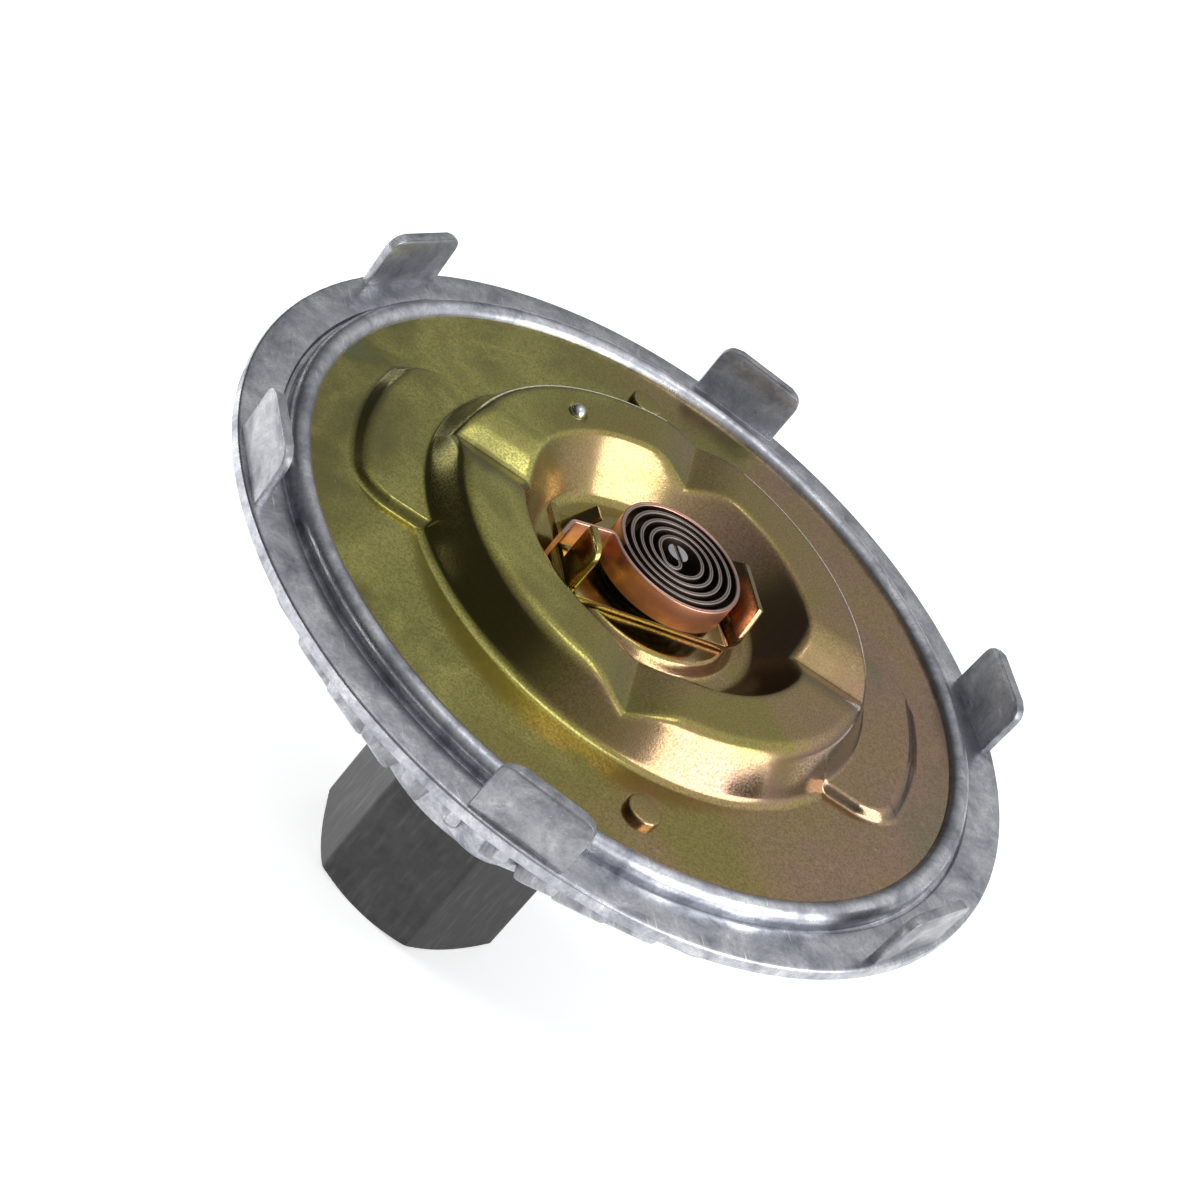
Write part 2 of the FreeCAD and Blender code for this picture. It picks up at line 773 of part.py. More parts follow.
def cut_grooves(body, label, drop):
    """Four radial grooves pressed into the ring, level along their bottoms."""
    bottom = f"ring_top - groove_depth - ({drop}) * groove_lean"
    rise = "2 * groove_depth"
    half = "2 * groove_half_width"
    sketch = new_sketch(body, label + "_groove", "YZ_Plane")
    outline(sketch, [
        ("0", bottom),
        (half, f"{bottom} + {rise}"),
        (f"-{half}", f"{bottom} + {rise}"),
    ])
    groove = pocket(body, sketch, "2 * ear_rad", both_ways=True)
    around(body, groove, "2", "90")


def make_cover():
    """The pressed sheet, as the front form less the rear form, with its two holes."""
    front = cover_form("cover_front_form", "flange_face - cover_sheet", "cover_rad", "0")
    rear = cover_form("cover_rear_form", "flange_face - 2 * cover_sheet",
                      "cover_rad + cover_sheet", "cover_sheet")
    bush_hole = cylinder("bush_hole", "bush_rad", "flange_face", "ring_height")
    plug_hole = cylinder("plug_hole", "plug_rad + plug_clearance", "flange_face",
                         "2 * ring_height", "plug_circle_rad", "plug_turn")
    cover = cut("front_cover", front, [rear, bush_hole, plug_hole])
    turn_about_z(cover, "cover_turn")
    return cover


def make_fill_plug():
    """The ball that closes the filling hole in the ring."""
    ball = doc.addObject("Part::Sphere", "fill_plug")
    bind(ball, "Radius", "plug_rad")
    place(ball, "plug_circle_rad", "plug_turn + cover_turn", "ring_top - plug_sink")
    return ball


def make_cover_seal():
    """The sealing ring that lies on the partition plate, around the cover's edge."""
    ring = doc.addObject("Part::Torus", "cover_seal")
    bind(ring, "Radius1", "recess_rad - seal_ring_clearance - 0.5 * seal_ring_section")
    bind(ring, "Radius2", "0.5 * seal_ring_section")
    place(ring, "0", None, "flange_face + 0.5 * seal_ring_section")
    return ring


# Partition plate and pump

def make_partition_plate():
    """The plate between the fluid reservoir and the working chamber, with its two ports."""
    blank = turned("plate_blank", [
        ("0", "plate_top - plate_thickness"),
        ("plate_dish_rad + plate_thickness * dish_bend", "plate_top - plate_thickness"),
        ("plate_rim_inner_rad + plate_thickness * dish_bend", "plate_seat"),
        ("recess_rad - plate_clearance", "plate_seat"),
        ("recess_rad - plate_clearance", "flange_face"),
        ("plate_rim_inner_rad", "flange_face"),
        ("plate_dish_rad", "plate_top"),
        ("0", "plate_top"),
    ])
    low = "plate_top - 2 * plate_thickness"
    height = "4 * plate_thickness"
    intake = cylinder("intake_port", "intake_rad", low, height, "intake_circle_rad",
                      "intake_turn")
    back = cylinder("return_port", "return_rad", low, height, "return_circle_rad", "0")
    return cut("partition_plate", blank, [intake, back])


def make_pump_wiper():
    """The small block under the plate that scoops fluid off the rotor's rim."""
    body = new_body("pump_wiper")
    sketch = new_sketch(body, "wiper_section")
    inner = "rotor_rad + wiper_clearance"
    outline(sketch, rectangle(inner, f"{inner} + wiper_width",
                              "plate_top - plate_thickness - wiper_height",
                              "plate_top - plate_thickness"))
    revolve(body, sketch, angle="wiper_span")
    turn_about_z(body, "wiper_span")
    return body


# Valve

def make_valve_arm():
    """A strip that covers the intake port when the valve is closed."""
    body = new_body("valve_arm")
    sketch = new_sketch(body, "arm_outline", "XY_Plane", "arm_bottom")
    outline(sketch, [
        ("0", "-valve_arm_half_width"),
        ("intake_circle_rad", "-valve_arm_half_width", "intake_circle_rad", "0"),
        ("intake_circle_rad", "valve_arm_half_width"),
        ("0", "valve_arm_half_width", "0", "0"),
    ])
    ring_of(sketch, "0", "0", "valve_rad")
    pad(body, sketch, "valve_arm_thickness")
    turn_about_z(body, "intake_turn")
    return body


def make_valve_shaft():
    """The pin that the coil turns, slotted at its tip for the coil's inner end."""
    body = turned("valve_shaft", rectangle("0", "valve_rad", "arm_bottom", "valve_tip"))
    slot = new_sketch(body, "tip_slot", "YZ_Plane")
    half = "0.5 * valve_slot_width"
    outline(slot, rectangle(f"-{half}", half, "valve_tip - valve_slot_depth",
                            "valve_tip + valve_slot_width"))
    pocket(body, slot, "4 * valve_rad", both_ways=True)
    turn_about_z(body, "coil_turn")
    return body


def make_valve_bush():
    """A flanged bush, staked under the cover, that also clamps the coil's bracket."""
    bore = "valve_rad + bush_clearance"
    groove = f"{bore} + shaft_seal_section + shaft_seal_clearance"
    low = "hub_underside"
    high = "hub_underside + shaft_seal_section + 2 * shaft_seal_clearance"
    return turned("valve_bush", [
        (bore, "bush_bottom"),
        ("bush_stake_rad", "bush_bottom"),
        ("bush_stake_rad", "hub_underside"),
        ("bush_rad", "hub_underside"),
        ("bush_rad", "strap_top"),
        ("bush_flange_rad", "strap_top"),
        ("bush_flange_rad", "bush_flange_top"),
        ("bush_neck_rad", "bush_flange_top"),
        ("bush_neck_rad", "bush_top"),
        (bore, "bush_top"),
        (bore, high),
        (groove, high),
        (groove, low),
        (bore, low),
    ])


def make_shaft_seal():
    """The sealing ring in the bush's groove."""
    ring = doc.addObject("Part::Torus", "valve_shaft_seal")
    bind(ring, "Radius1", "valve_rad + bush_clearance + shaft_seal_clearance"
         " + 0.5 * shaft_seal_section")
    bind(ring, "Radius2", "0.5 * shaft_seal_section")
    place(ring, "0", None, "hub_underside + shaft_seal_clearance + 0.5 * shaft_seal_section")
    return ring


# Coil bracket

def make_bracket():
    """A strip bent up at both ends: a leaning ear in front and a forked one behind."""
    body = new_body("coil_bracket")
    bends = new_sketch(body, "bracket_bends", "YZ_Plane")
    front = "bracket_front_reach"
    tip = f"({front} + bracket_front_lean)"
    sheet_up = "strap_top"
    outline(bends, [
        ("-bracket_back_reach - bracket_sheet", "hub_top"),
        (f"{front} + bracket_sheet", "hub_top"),
        (f"{tip} + bracket_sheet", f"{sheet_up} + bracket_front_height"),
        (tip, f"{sheet_up} + bracket_front_height"),
        (front, sheet_up),
        ("-bracket_back_reach", sheet_up),
        ("-bracket_back_reach", f"{sheet_up} + bracket_back_height"),
        ("-bracket_back_reach - bracket_sheet", f"{sheet_up} + bracket_back_height"),
    ])
    pad(body, bends, "2 * bracket_half_width", both_ways=True)
    trim_front_ear(body)
    trim_back_ear(body)
    bore = new_sketch(body, "bracket_bore", "XY_Plane", "hub_top - bracket_sheet")
    ring_of(bore, "0", "0", "bush_rad")
    pocket(body, bore, "3 * bracket_sheet")
    return body


def trim_front_ear(body):
    """Cut the two upper corners off the leaning ear."""
    sketch = new_sketch(body, "front_ear_corners", "XZ_Plane",
                        "-bracket_front_reach - 0.5 * bracket_front_lean")
    top = "strap_top + bracket_front_height + bracket_sheet"
    low = "strap_top + bracket_front_height - bracket_front_corner"
    edge = "(bracket_half_width + bracket_sheet)"
    outline(sketch, [
        (f"-{edge}", low),
        (f"-{edge} + bracket_front_corner + 2 * bracket_sheet", top),
        (f"-{edge}", top),
    ])
    outline(sketch, [
        (edge, low),
        (edge, top),
        (f"{edge} - 0.5 * bracket_front_corner", top),
    ])
    pocket(body, sketch, "2 * bracket_front_lean + 4 * bracket_sheet", both_ways=True)


def trim_back_ear(body):
    """Cut the fork for the coil's tail, and bend its narrow prong towards the coil."""
    sketch = new_sketch(body, "back_ear_fork", "XZ_Plane", "bracket_back_reach")
    top = "strap_top + bracket_back_height + bracket_sheet"
    root = "strap_top + bracket_back_height - bracket_fork_depth"
    outline(sketch, rectangle("-bracket_half_width - bracket_sheet", "bracket_fork_right",
                              root, top))
    pocket(body, sketch, "4 * bracket_sheet", both_ways=True)
    clip = new_sketch(body, "back_ear_clip", "YZ_Plane", "-bracket_prong_cut")
    tip = f"{root} + bracket_clip_height"
    outline(clip, [
        ("-bracket_back_reach - bracket_sheet", root),
        ("-bracket_back_reach", root),
        ("-bracket_back_reach + bracket_clip_lean", tip),
        ("-bracket_back_reach - bracket_sheet + bracket_clip_lean", tip),
    ])
    pad(body, clip, "bracket_prong_cut - bracket_fork_left")


# Bimetal coil

class StripPath:
    """A bent strip seen from above, as it is laid out move by move along its middle."""

    def __init__(self, start, thickness):
        self.spot = start
        self.heading = 0.0
        self.half = 0.5 * thickness
        self.left = []
        self.right = []

    def side(self, amount):
        """The point beside the middle line, to the left by amount."""
        turn = math.radians(self.heading)
        return self.spot + V(-math.sin(turn), math.cos(turn), 0) * amount

    def forward(self, length):
        turn = math.radians(self.heading)
        old = [self.side(self.half), self.side(-self.half)]
        self.spot = self.spot + V(math.cos(turn), math.sin(turn), 0) * length
        new = [self.side(self.half), self.side(-self.half)]
        self.left.append(Part.LineSegment(old[0], new[0]).toShape())
        self.right.append(Part.LineSegment(old[1], new[1]).toShape())

    def curve(self, radius, angle):
        """Follow an arc. A positive angle turns left."""
        sign = 1 if angle > 0 else -1
        middle = self.side(sign * radius)
        rails = [[], []]
        for share in (0, 0.5, 1):
            turn = FreeCAD.Rotation(V(0, 0, 1), angle * share)
            for rail, amount in zip(rails, (self.half, -self.half)):
                rail.append(middle + turn.multVec(self.side(amount) - middle))
        self.spot = middle + FreeCAD.Rotation(V(0, 0, 1), angle).multVec(self.spot - middle)
        self.heading = self.heading + angle
        self.left.append(Part.Arc(*rails[0]).toShape())
        self.right.append(Part.Arc(*rails[1]).toShape())

    def face(self):
        ends = [edge.Vertexes for edge in (self.left[0], self.right[0])]
        first = Part.LineSegment(ends[0][0].Point, ends[1][0].Point).toShape()
        last = Part.LineSegment(self.side(self.half), self.side(-self.half)).toShape()
        edges = Part.__sortEdges__([first] + self.left + [last] + self.right)
        return Part.Face(Part.Wire(edges))


def make_coil():
    """The spiral strip, from the slot in the shaft's tip out to the hook behind the fork."""
    slot_reach = value("valve_rad")
    inner = value("coil_inner_rad")
    outer = value("coil_rad - 0.5 * coil_strip")
    half_turns = int(value("coil_half_turns"))
    growth = (outer - inner) / half_turns
    bend = value("coil_bend_rad")
    path = StripPath(V(-slot_reach, 0, 0), value("coil_strip"))
    path.forward(2 * slot_reach)
    path.curve(0.5 * inner, -180)
    path.forward(slot_reach)
    for number in range(1, half_turns + 1):
        path.curve(inner + number * growth, -180)
    path.curve(bend, 90)
    path.forward(value("coil_tail_reach") - outer - bend)
    path.curve(bend, value("coil_tail_turn"))
    path.forward(value("coil_tail_hook"))
    coil = doc.addObject("Part::Feature", "bimetal_coil")
    strip = path.face().extrude(V(0, 0, value("coil_width")))
    coil.Shape = strip
    coil.Placement = FreeCAD.Placement(V(0, 0, value("coil_bottom_z")),
                                       FreeCAD.Rotation(V(0, 0, 1), value("coil_turn")))
    return coil


# Rotor

def make_rotor():
    """The ringed disc that drives the fluid."""
    body = turned("rotor", [
        ("insert_rad", "insert_rear + insert_flange"),
        ("rotor_boss_rad - insert_flange", "insert_rear + insert_flange"),
        ("rotor_boss_rad", "rotor_rear - rotor_boss_depth + insert_flange"),
        ("rotor_boss_rad + insert_flange", "rotor_rear"),
        ("rotor_rad", "rotor_rear"),
        ("rotor_rad", "rotor_top"),
        ("rotor_well_rad + insert_sink", "rotor_top"),
        ("rotor_well_rad", "insert_top"),
        ("insert_rad", "insert_top"),
    ])
    add_lands(body, "rotor_lands", "land_first_rad - 0.5 * land_pitch",
              int(value("land_count")) + 1, "rotor_rear - land_height",
              "rotor_rear + 0.5 * rotor_web")
    return body


def make_rotor_hub():
    """The flanged steel insert in the middle of the rotor."""
    return turned("rotor_hub", [
        ("nose_rad", "insert_rear"),
        ("insert_flange_rad", "insert_rear"),
        ("insert_flange_rad", "insert_rear + insert_flange"),
        ("insert_rad", "insert_rear + insert_flange"),
        ("insert_rad", "insert_top"),
        ("nose_rad", "insert_top"),
    ])


def make_retaining_ring():
    return open_ring("rotor_retaining_ring", "nose_rad - retainer_groove + retainer_clearance",
                     "retainer_rad", "insert_top", "retainer_thickness", "retainer_gap")


def make_snap_ring():
    return open_ring("bearing_snap_ring", "snap_bore_rad", "snap_rad", "snap_rear",
                     "snap_thickness", "snap_gap")


def make_all():
    """Every sub-part, from the drive shaft outward and forward."""
    parts = [make_drive_shaft()]
    parts += make_bearing_rings()
    parts += make_bearing_seals()
    parts += [make_balls(), make_cage(), make_snap_ring()]
    parts += [make_rotor(), make_rotor_hub(), make_retaining_ring()]
    parts += [make_housing(), make_partition_plate(), make_pump_wiper()]
    parts += [make_cover(), make_cover_seal(), make_fill_plug()]
    parts += [make_valve_arm(), make_valve_shaft(), make_valve_bush(), make_shaft_seal()]
    parts += [make_bracket(), make_coil()]
    return parts


def check(parts):
    """Stop if any object failed or any sub-part has no sound shape."""
    doc.recompute()
    for thing in doc.Objects:
        if "Invalid" in thing.State or "Error" in thing.State:
            raise ValueError(f"{thing.Label} failed: {thing.State}")
    for thing in parts:
        if thing.Shape.isNull() or not thing.Shape.isValid():
            raise ValueError(f"{thing.Label} has no sound shape")
        print(f"{thing.Label}: {len(thing.Shape.Solids)} solid, {thing.Shape.Volume:.1f} mm3")


fill_sheet()
sub_parts = make_all()
check(sub_parts)
os.makedirs("parts", exist_ok=True)
for sub_part in sub_parts:
    sub_part.Shape.exportStep(f"parts/{sub_part.Label}.step")
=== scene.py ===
"""The looks of a viscous fan clutch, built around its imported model.

Lengths are in millimetres and angles in degrees up to the point where a mesh is made, which is
in metres. Z runs along the shaft, from the hexagon's rear face towards the pressed cover.
"""
import json
import math

import bmesh
import bpy
import numpy as np
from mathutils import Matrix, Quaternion, Vector


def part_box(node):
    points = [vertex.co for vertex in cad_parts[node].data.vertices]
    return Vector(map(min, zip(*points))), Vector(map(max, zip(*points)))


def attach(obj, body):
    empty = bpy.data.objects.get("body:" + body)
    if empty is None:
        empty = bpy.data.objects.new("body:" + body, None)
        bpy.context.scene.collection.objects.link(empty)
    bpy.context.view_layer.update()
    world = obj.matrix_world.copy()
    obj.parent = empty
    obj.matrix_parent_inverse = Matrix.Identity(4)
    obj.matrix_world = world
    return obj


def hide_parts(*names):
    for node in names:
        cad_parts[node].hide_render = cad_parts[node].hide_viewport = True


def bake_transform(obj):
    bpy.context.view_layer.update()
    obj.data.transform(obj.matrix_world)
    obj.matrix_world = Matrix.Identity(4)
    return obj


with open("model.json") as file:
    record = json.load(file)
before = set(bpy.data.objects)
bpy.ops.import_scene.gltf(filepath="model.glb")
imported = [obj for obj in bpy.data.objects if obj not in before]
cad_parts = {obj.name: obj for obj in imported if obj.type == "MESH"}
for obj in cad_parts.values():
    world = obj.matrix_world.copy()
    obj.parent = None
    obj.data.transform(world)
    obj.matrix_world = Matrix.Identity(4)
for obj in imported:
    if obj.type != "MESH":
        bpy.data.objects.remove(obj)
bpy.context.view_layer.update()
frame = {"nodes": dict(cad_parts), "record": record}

MM = 0.001
INNER_RING_WALL = 3.1


# Sizes that are read from the frame

def top_of(node):
    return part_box(node)[1].z / MM


def foot_of(node):
    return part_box(node)[0].z / MM


def reach_of(node):
    """The largest distance of a node from the shaft's axis."""
    return max(math.hypot(v.co.x, v.co.y) for v in frame["nodes"][node].data.vertices) / MM


FLANGE_FACE = top_of("partition_plate")
RING_TOP = top_of("front_cover")
COVER_RAD = reach_of("front_cover")
BEARING_REAR = foot_of("bearing_outer_ring")
BEARING_FRONT = top_of("bearing_outer_ring")
BEARING_RAD = reach_of("bearing_outer_ring")
BORE_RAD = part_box("bearing_inner_ring")[1].x / MM - INNER_RING_WALL
STRAP_REAR = foot_of("coil_bracket")
COIL_TOP = top_of("bimetal_coil")
COIL_REAR = foot_of("bimetal_coil")
INSERT_REAR = foot_of("rotor_hub")
SHAFT_TOP = top_of("drive_shaft")


# Small helpers for shapes

def rounded(points, radii, step=0.35, closed=False):
    """The points of an outline whose corners are rounded, each with a radius of its own."""
    spots = [np.array(point, float) for point in points]
    count = len(spots)
    line = []
    for number, spot in enumerate(spots):
        radius = radii[number]
        at_end = not closed and number in (0, count - 1)
        if at_end or radius <= 0:
            line.append(spot)
            continue
        back = spots[number - 1] - spot
        ahead = spots[(number + 1) % count] - spot
        back = back / np.linalg.norm(back)
        ahead = ahead / np.linalg.norm(ahead)
        inside = math.acos(float(np.clip(back @ ahead, -1, 1)))
        turn = math.pi - inside
        if turn < 1e-3:
            line.append(spot)
            continue
        between = (back + ahead) / np.linalg.norm(back + ahead)
        middle = spot + between * radius / math.sin(inside / 2)
        start = spot + back * radius / math.tan(inside / 2) - middle
        stop = spot + ahead * radius / math.tan(inside / 2) - middle
        pieces = max(2, math.ceil(radius * turn / step))
        for share in np.linspace(0, 1, pieces + 1):
            arc = (math.sin((1 - share) * turn) * start + math.sin(share * turn) * stop)
            line.append(middle + arc / math.sin(turn))
    return np.array(line)


def refined(line, longest, closed=False):
    """The line with points added so that no stretch is longer than longest."""
    ends = list(line) + ([line[0]] if closed else [])
    made = []
    for start, stop in zip(ends, ends[1:]):
        pieces = max(1, math.ceil(np.linalg.norm(stop - start) / longest))
        for number in range(pieces):
            made.append(start + (stop - start) * number / pieces)
    if not closed:
        made.append(ends[-1])
    return np.array(made)


def run_of(line):
    """The length along the line from its start to each of its points."""
    return np.concatenate([[0], np.cumsum(np.linalg.norm(np.diff(line, axis=0), axis=1))])


def ramp(amount, low, high):
    """0 below low, 1 above high, and a smooth rise between them."""
    share = np.clip((amount - low) / (high - low), 0, 1)
    return share * share * (3 - 2 * share)


def soft_min(a, b, blend):
    share = np.clip(0.5 + 0.5 * (b - a) / blend, 0, 1)
    return a * share + b * (1 - share) - blend * share * (1 - share)


def soft_max(a, b, blend):
    return -soft_min(-a, -b, blend)


def polar(radius, angle, height):
    """Points from radius, angle in degrees and height, in millimetres."""
    turn = np.radians(angle)
    return np.stack(np.broadcast_arrays(radius * np.cos(turn), radius * np.sin(turn), height), -1)


# Small helpers for meshes

def new_piece(name, points, faces, body, material):
    """A mesh in millimetres as a smooth piece that rides on a body, or on none yet."""
    mesh = bpy.data.meshes.new(name)
    spots = np.asarray(points, float).reshape(-1, 3) * MM
    mesh.from_pydata(spots.tolist(), [], [list(map(int, face)) for face in faces])
    mesh.polygons.foreach_set("use_smooth", [True] * len(mesh.polygons))
    mesh.validate()
    mesh.update()
    piece = bpy.data.objects.new(name, mesh)
    bpy.context.scene.collection.objects.link(piece)
    for item in material if isinstance(material, (list, tuple)) else [material]:
        mesh.materials.append(item)
    if body is not None:
        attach(piece, body)
    return piece


def grid_faces(rows, columns, first=0, wrap_rows=False, flip=False):
    """Four-sided faces of a grid of points, row after row, which closes round its columns."""
    faces = []
    for row in range(rows if wrap_rows else rows - 1):
        here = first + row * columns
        ahead = first + (row + 1) % rows * columns
        for column in range(columns):
            side = (column + 1) % columns
            face = (here + column, here + side, ahead + side, ahead + column)
            faces.append(face[::-1] if flip else face)
    return faces


def sharpen(piece, angle):
    """Keep crisp edges where faces meet at more than the angle."""
    piece.data.set_sharp_from_angle(angle=math.radians(angle))


def turned(outline, columns):
    """The points of an outline of (radius, height) turned about the Z axis, row after row."""
    angles = np.linspace(0, 360, columns, endpoint=False)
    return polar(outline[:, None, 0], angles[None, :], outline[:, None, 1]).reshape(-1, 3)


def capped_faces(rows, columns):
    """Faces of a tube of points, row after row, with a flat face at each end."""
    last = (rows - 1) * columns
    ends = [tuple(range(columns))[::-1], tuple(range(last, last + columns))]
    return grid_faces(rows, columns) + ends


def faced_out(piece, weld=False):
    """Turn the faces of a closed mesh outward, after joining the points that share a place."""
    work = bmesh.new()
    work.from_mesh(piece.data)
    if weld:
        bmesh.ops.remove_doubles(work, verts=work.verts, dist=1e-6)
    bmesh.ops.recalc_face_normals(work, faces=work.faces)
    work.to_mesh(piece.data)
    work.free()


# Materials

class Finish:
    """A material made of nodes. Its patterns are laid out in millimetres in the row frame."""

    def __init__(self, name, **sockets):
        self.material = bpy.data.materials.new(name)
        self.material.use_nodes = True
        tree = self.material.node_tree
        self.nodes = tree.nodes
        self.links = tree.links
        self.shader = self.nodes["Principled BSDF"]
        for socket, number in sockets.items():
            self.shader.inputs[socket.replace("_", " ")].default_value = number
        place = self.add("ShaderNodeTexCoord").outputs["Object"]
        scaled = self.add("ShaderNodeVectorMath", operation="SCALE")
        self.plug(scaled.inputs[0], place)
        self.plug(scaled.inputs["Scale"], 1 / MM)
        self.place = scaled.outputs["Vector"]

    def add(self, kind, **settings):
        node = self.nodes.new(kind)
        for name, setting in settings.items():
            setattr(node, name, setting)
        return node

    def plug(self, socket, source):
        """Give an input a number, a colour or another node's output."""
        if isinstance(source, bpy.types.NodeSocket):
            self.links.new(source, socket)
        elif source is not None:
            socket.default_value = source

    def math(self, operation, first, second, third=None):
        node = self.add("ShaderNodeMath", operation=operation)
        self.plug(node.inputs[0], first)
        self.plug(node.inputs[1], second)
        self.plug(node.inputs[2], third)
        return node.outputs[0]

    def stretched(self, x=1.0, z=1.0, turn=0.0):
        """The place, turned about Z and then scaled along each axis."""
        node = self.add("ShaderNodeMapping", vector_type="POINT")
        node.inputs["Scale"].default_value = (x, 1.0, z)
        node.inputs["Rotation"].default_value = (0, 0, math.radians(turn))
        self.plug(node.inputs["Vector"], self.place)
        return node.outputs["Vector"]

    def noise(self, size, detail=3.0, rough=0.55, place=None, warp=0.0, seed=0.0):
        """Noise between 0 and 1 whose features are about size millimetres across."""
        node = self.add("ShaderNodeTexNoise", noise_dimensions="4D")
        self.plug(node.inputs["Vector"], place or self.place)
        node.inputs["W"].default_value = seed
        node.inputs["Scale"].default_value = 1 / size
        node.inputs["Detail"].default_value = detail
        node.inputs["Roughness"].default_value = rough
        node.inputs["Distortion"].default_value = warp
        return node.outputs[0]

    def span(self, source, low, high, to_low=0.0, to_high=1.0):
        """Map low..high onto to_low..to_high, with soft ends."""
        node = self.add("ShaderNodeMapRange", interpolation_type="SMOOTHSTEP")
        for socket, number in zip(node.inputs[:5], (source, low, high, to_low, to_high)):
            self.plug(socket, number)
        return node.outputs["Result"]

    def colours(self, source, stops):
        """A colour ramp from (place, colour) stops."""
        node = self.add("ShaderNodeValToRGB")
        ramp_stops = node.color_ramp.elements
        while len(ramp_stops) < len(stops):
            ramp_stops.new(0.5)
        for stop, (place, colour) in zip(ramp_stops, stops):
            stop.position = place
            stop.color = (*colour, 1)
        self.plug(node.inputs["Fac"], source)
        return node.outputs["Color"]

    def mix(self, share, first, second, blend="MIX"):
        node = self.add("ShaderNodeMix", data_type="RGBA", blend_type=blend)
        self.plug(node.inputs["Factor"], share)
        for socket, source in ((node.inputs[6], first), (node.inputs[7], second)):
            if isinstance(source, tuple):
                source = (*source, 1)
            self.plug(socket, source)
        return node.outputs[2]

    def bump(self, height, depth):
        """A bump of depth millimetres where height goes from 0 to 1."""
        node = self.add("ShaderNodeBump")
        node.inputs["Strength"].default_value = 1.0
        node.inputs["Distance"].default_value = depth * MM
        self.plug(node.inputs["Height"], height)
        self.links.new(node.outputs["Normal"], self.shader.inputs["Normal"])

    def colour(self, source):
        self.plug(self.shader.inputs["Base Color"], source)

    def roughness(self, source):
        self.plug(self.shader.inputs["Roughness"], source)


# The film's colour drifts across the cover towards FILM_TURN. The drift lays out the chromate's own
# patches and also painted light: the bright lime patches stand in part for a highlight.
FILM_TURN = 75.0
FILM_REACH = 67.0
FILM_BASE = 0.22
FILM_DRIFT = 0.6
FILM_AND_PAINTED_LIGHT_ACROSS = 0.24
# Painted shade: how far steep walls move along the colour ramp.
PAINTED_SHADE_ON_SLOPES = 0.12
FILM_AND_PAINTED_LIGHT_COLOURS = (
    (0.18, (0.17, 0.25, 0.16)),
    (0.27, (0.22, 0.21, 0.065)),
    (0.38, (0.52, 0.48, 0.14)),
    (0.47, (0.34, 0.30, 0.085)),
    (0.54, (0.36, 0.29, 0.09)),
    (0.62, (0.42, 0.29, 0.14)),
    (0.72, (0.42, 0.26, 0.19)),
    (0.86, (0.26, 0.24, 0.15)),
)


def zinc_yellow():
    """Chromate over zinc in broad lime, teal, pink and brown patches, partly painted light: the
    bright lime is in part a painted highlight, and steep walls get painted shade.
    """
    it = Finish("zinc_yellow", Metallic=1.0)
    split = it.add("ShaderNodeSeparateXYZ")
    it.plug(split.inputs[0], it.place)
    slope = it.add("ShaderNodeSeparateXYZ")
    it.plug(slope.inputs[0], it.add("ShaderNodeNewGeometry").outputs["Normal"])
    turn = math.radians(FILM_TURN)
    # Drift across the cover: chromate patches, with a painted highlight in the bright lime.
    toward = it.math("MULTIPLY", split.outputs["X"], math.cos(turn) / FILM_REACH)
    toward = it.math("MULTIPLY_ADD", split.outputs["Y"], math.sin(turn) / FILM_REACH, toward)
    drift = it.noise(26, detail=3, rough=0.5, warp=0.9, seed=3)
    film_and_painted_light = it.math("MULTIPLY_ADD", drift, FILM_DRIFT, FILM_BASE)
    film_and_painted_light = it.math("MULTIPLY_ADD", toward, FILM_AND_PAINTED_LIGHT_ACROSS, film_and_painted_light)
    # Painted shade: steep walls move along the colour ramp, standing in for the shade on the
    # cover's walls.
    steep_painted_shade = it.span(slope.outputs["Z"], 0.98, 0.5)
    film_and_painted_light = it.math("MULTIPLY_ADD", steep_painted_shade, PAINTED_SHADE_ON_SLOPES, film_and_painted_light)
    colour = it.colours(film_and_painted_light, FILM_AND_PAINTED_LIGHT_COLOURS)
    grain = it.noise(0.38, detail=2, rough=0.6)
    flecks = it.noise(1.6, detail=3, rough=0.6, seed=5)
    colour = it.mix(it.span(grain, 0.36, 0.68, 0.0, 0.6), colour, (0.15, 0.13, 0.05))
    colour = it.mix(it.span(flecks, 0.6, 0.8, 0.0, 0.35), colour, (0.60, 0.56, 0.36))
    it.colour(colour)
    it.roughness(it.span(grain, 0.3, 0.75, 0.11, 0.27))
    it.bump(grain, 0.011)
    return it.material


ALUMINIUM_CLOUDS = (
    (0.32, (0.20, 0.21, 0.24)),
    (0.46, (0.42, 0.43, 0.47)),
    (0.58, (0.62, 0.63, 0.66)),
    (0.70, (0.86, 0.87, 0.89)),
)


def cast_aluminium(name, shade, metallic):
    """Cast and machined aluminium: blue-grey, clouded, with scuffs and fine scratches.

    The shade darkens all its colours as painted shade, and 1 leaves them as they are.
    """
    it = Finish(name, Metallic=metallic)
    cloud = it.noise(7, detail=6, rough=0.7, warp=0.5)
    fine = it.noise(0.7, detail=4, rough=0.75)
    base = it.colours(cloud, ALUMINIUM_CLOUDS)
    base = it.mix(it.span(fine, 0.42, 0.72, 0, 0.55), base, (0.27, 0.28, 0.31))
    scratch = it.noise(0.5, detail=2, place=it.stretched(x=0.07, turn=35), seed=2)
    other = it.noise(0.5, detail=2, place=it.stretched(x=0.07, turn=-50), seed=6)
    lines = it.math("MAXIMUM", it.span(scratch, 0.66, 0.74), it.span(other, 0.66, 0.74))
    base = it.mix(it.math("MULTIPLY", lines, 0.6), base, (0.86, 0.87, 0.90))
    # Painted shade: all colours are multiplied by the shade.
    it.colour(it.mix(1.0, base, (shade, shade, shade), blend="MULTIPLY"))
    it.roughness(it.span(cloud, 0.3, 0.7, 0.42, 0.24))
    it.bump(fine, 0.035)
    return it.material


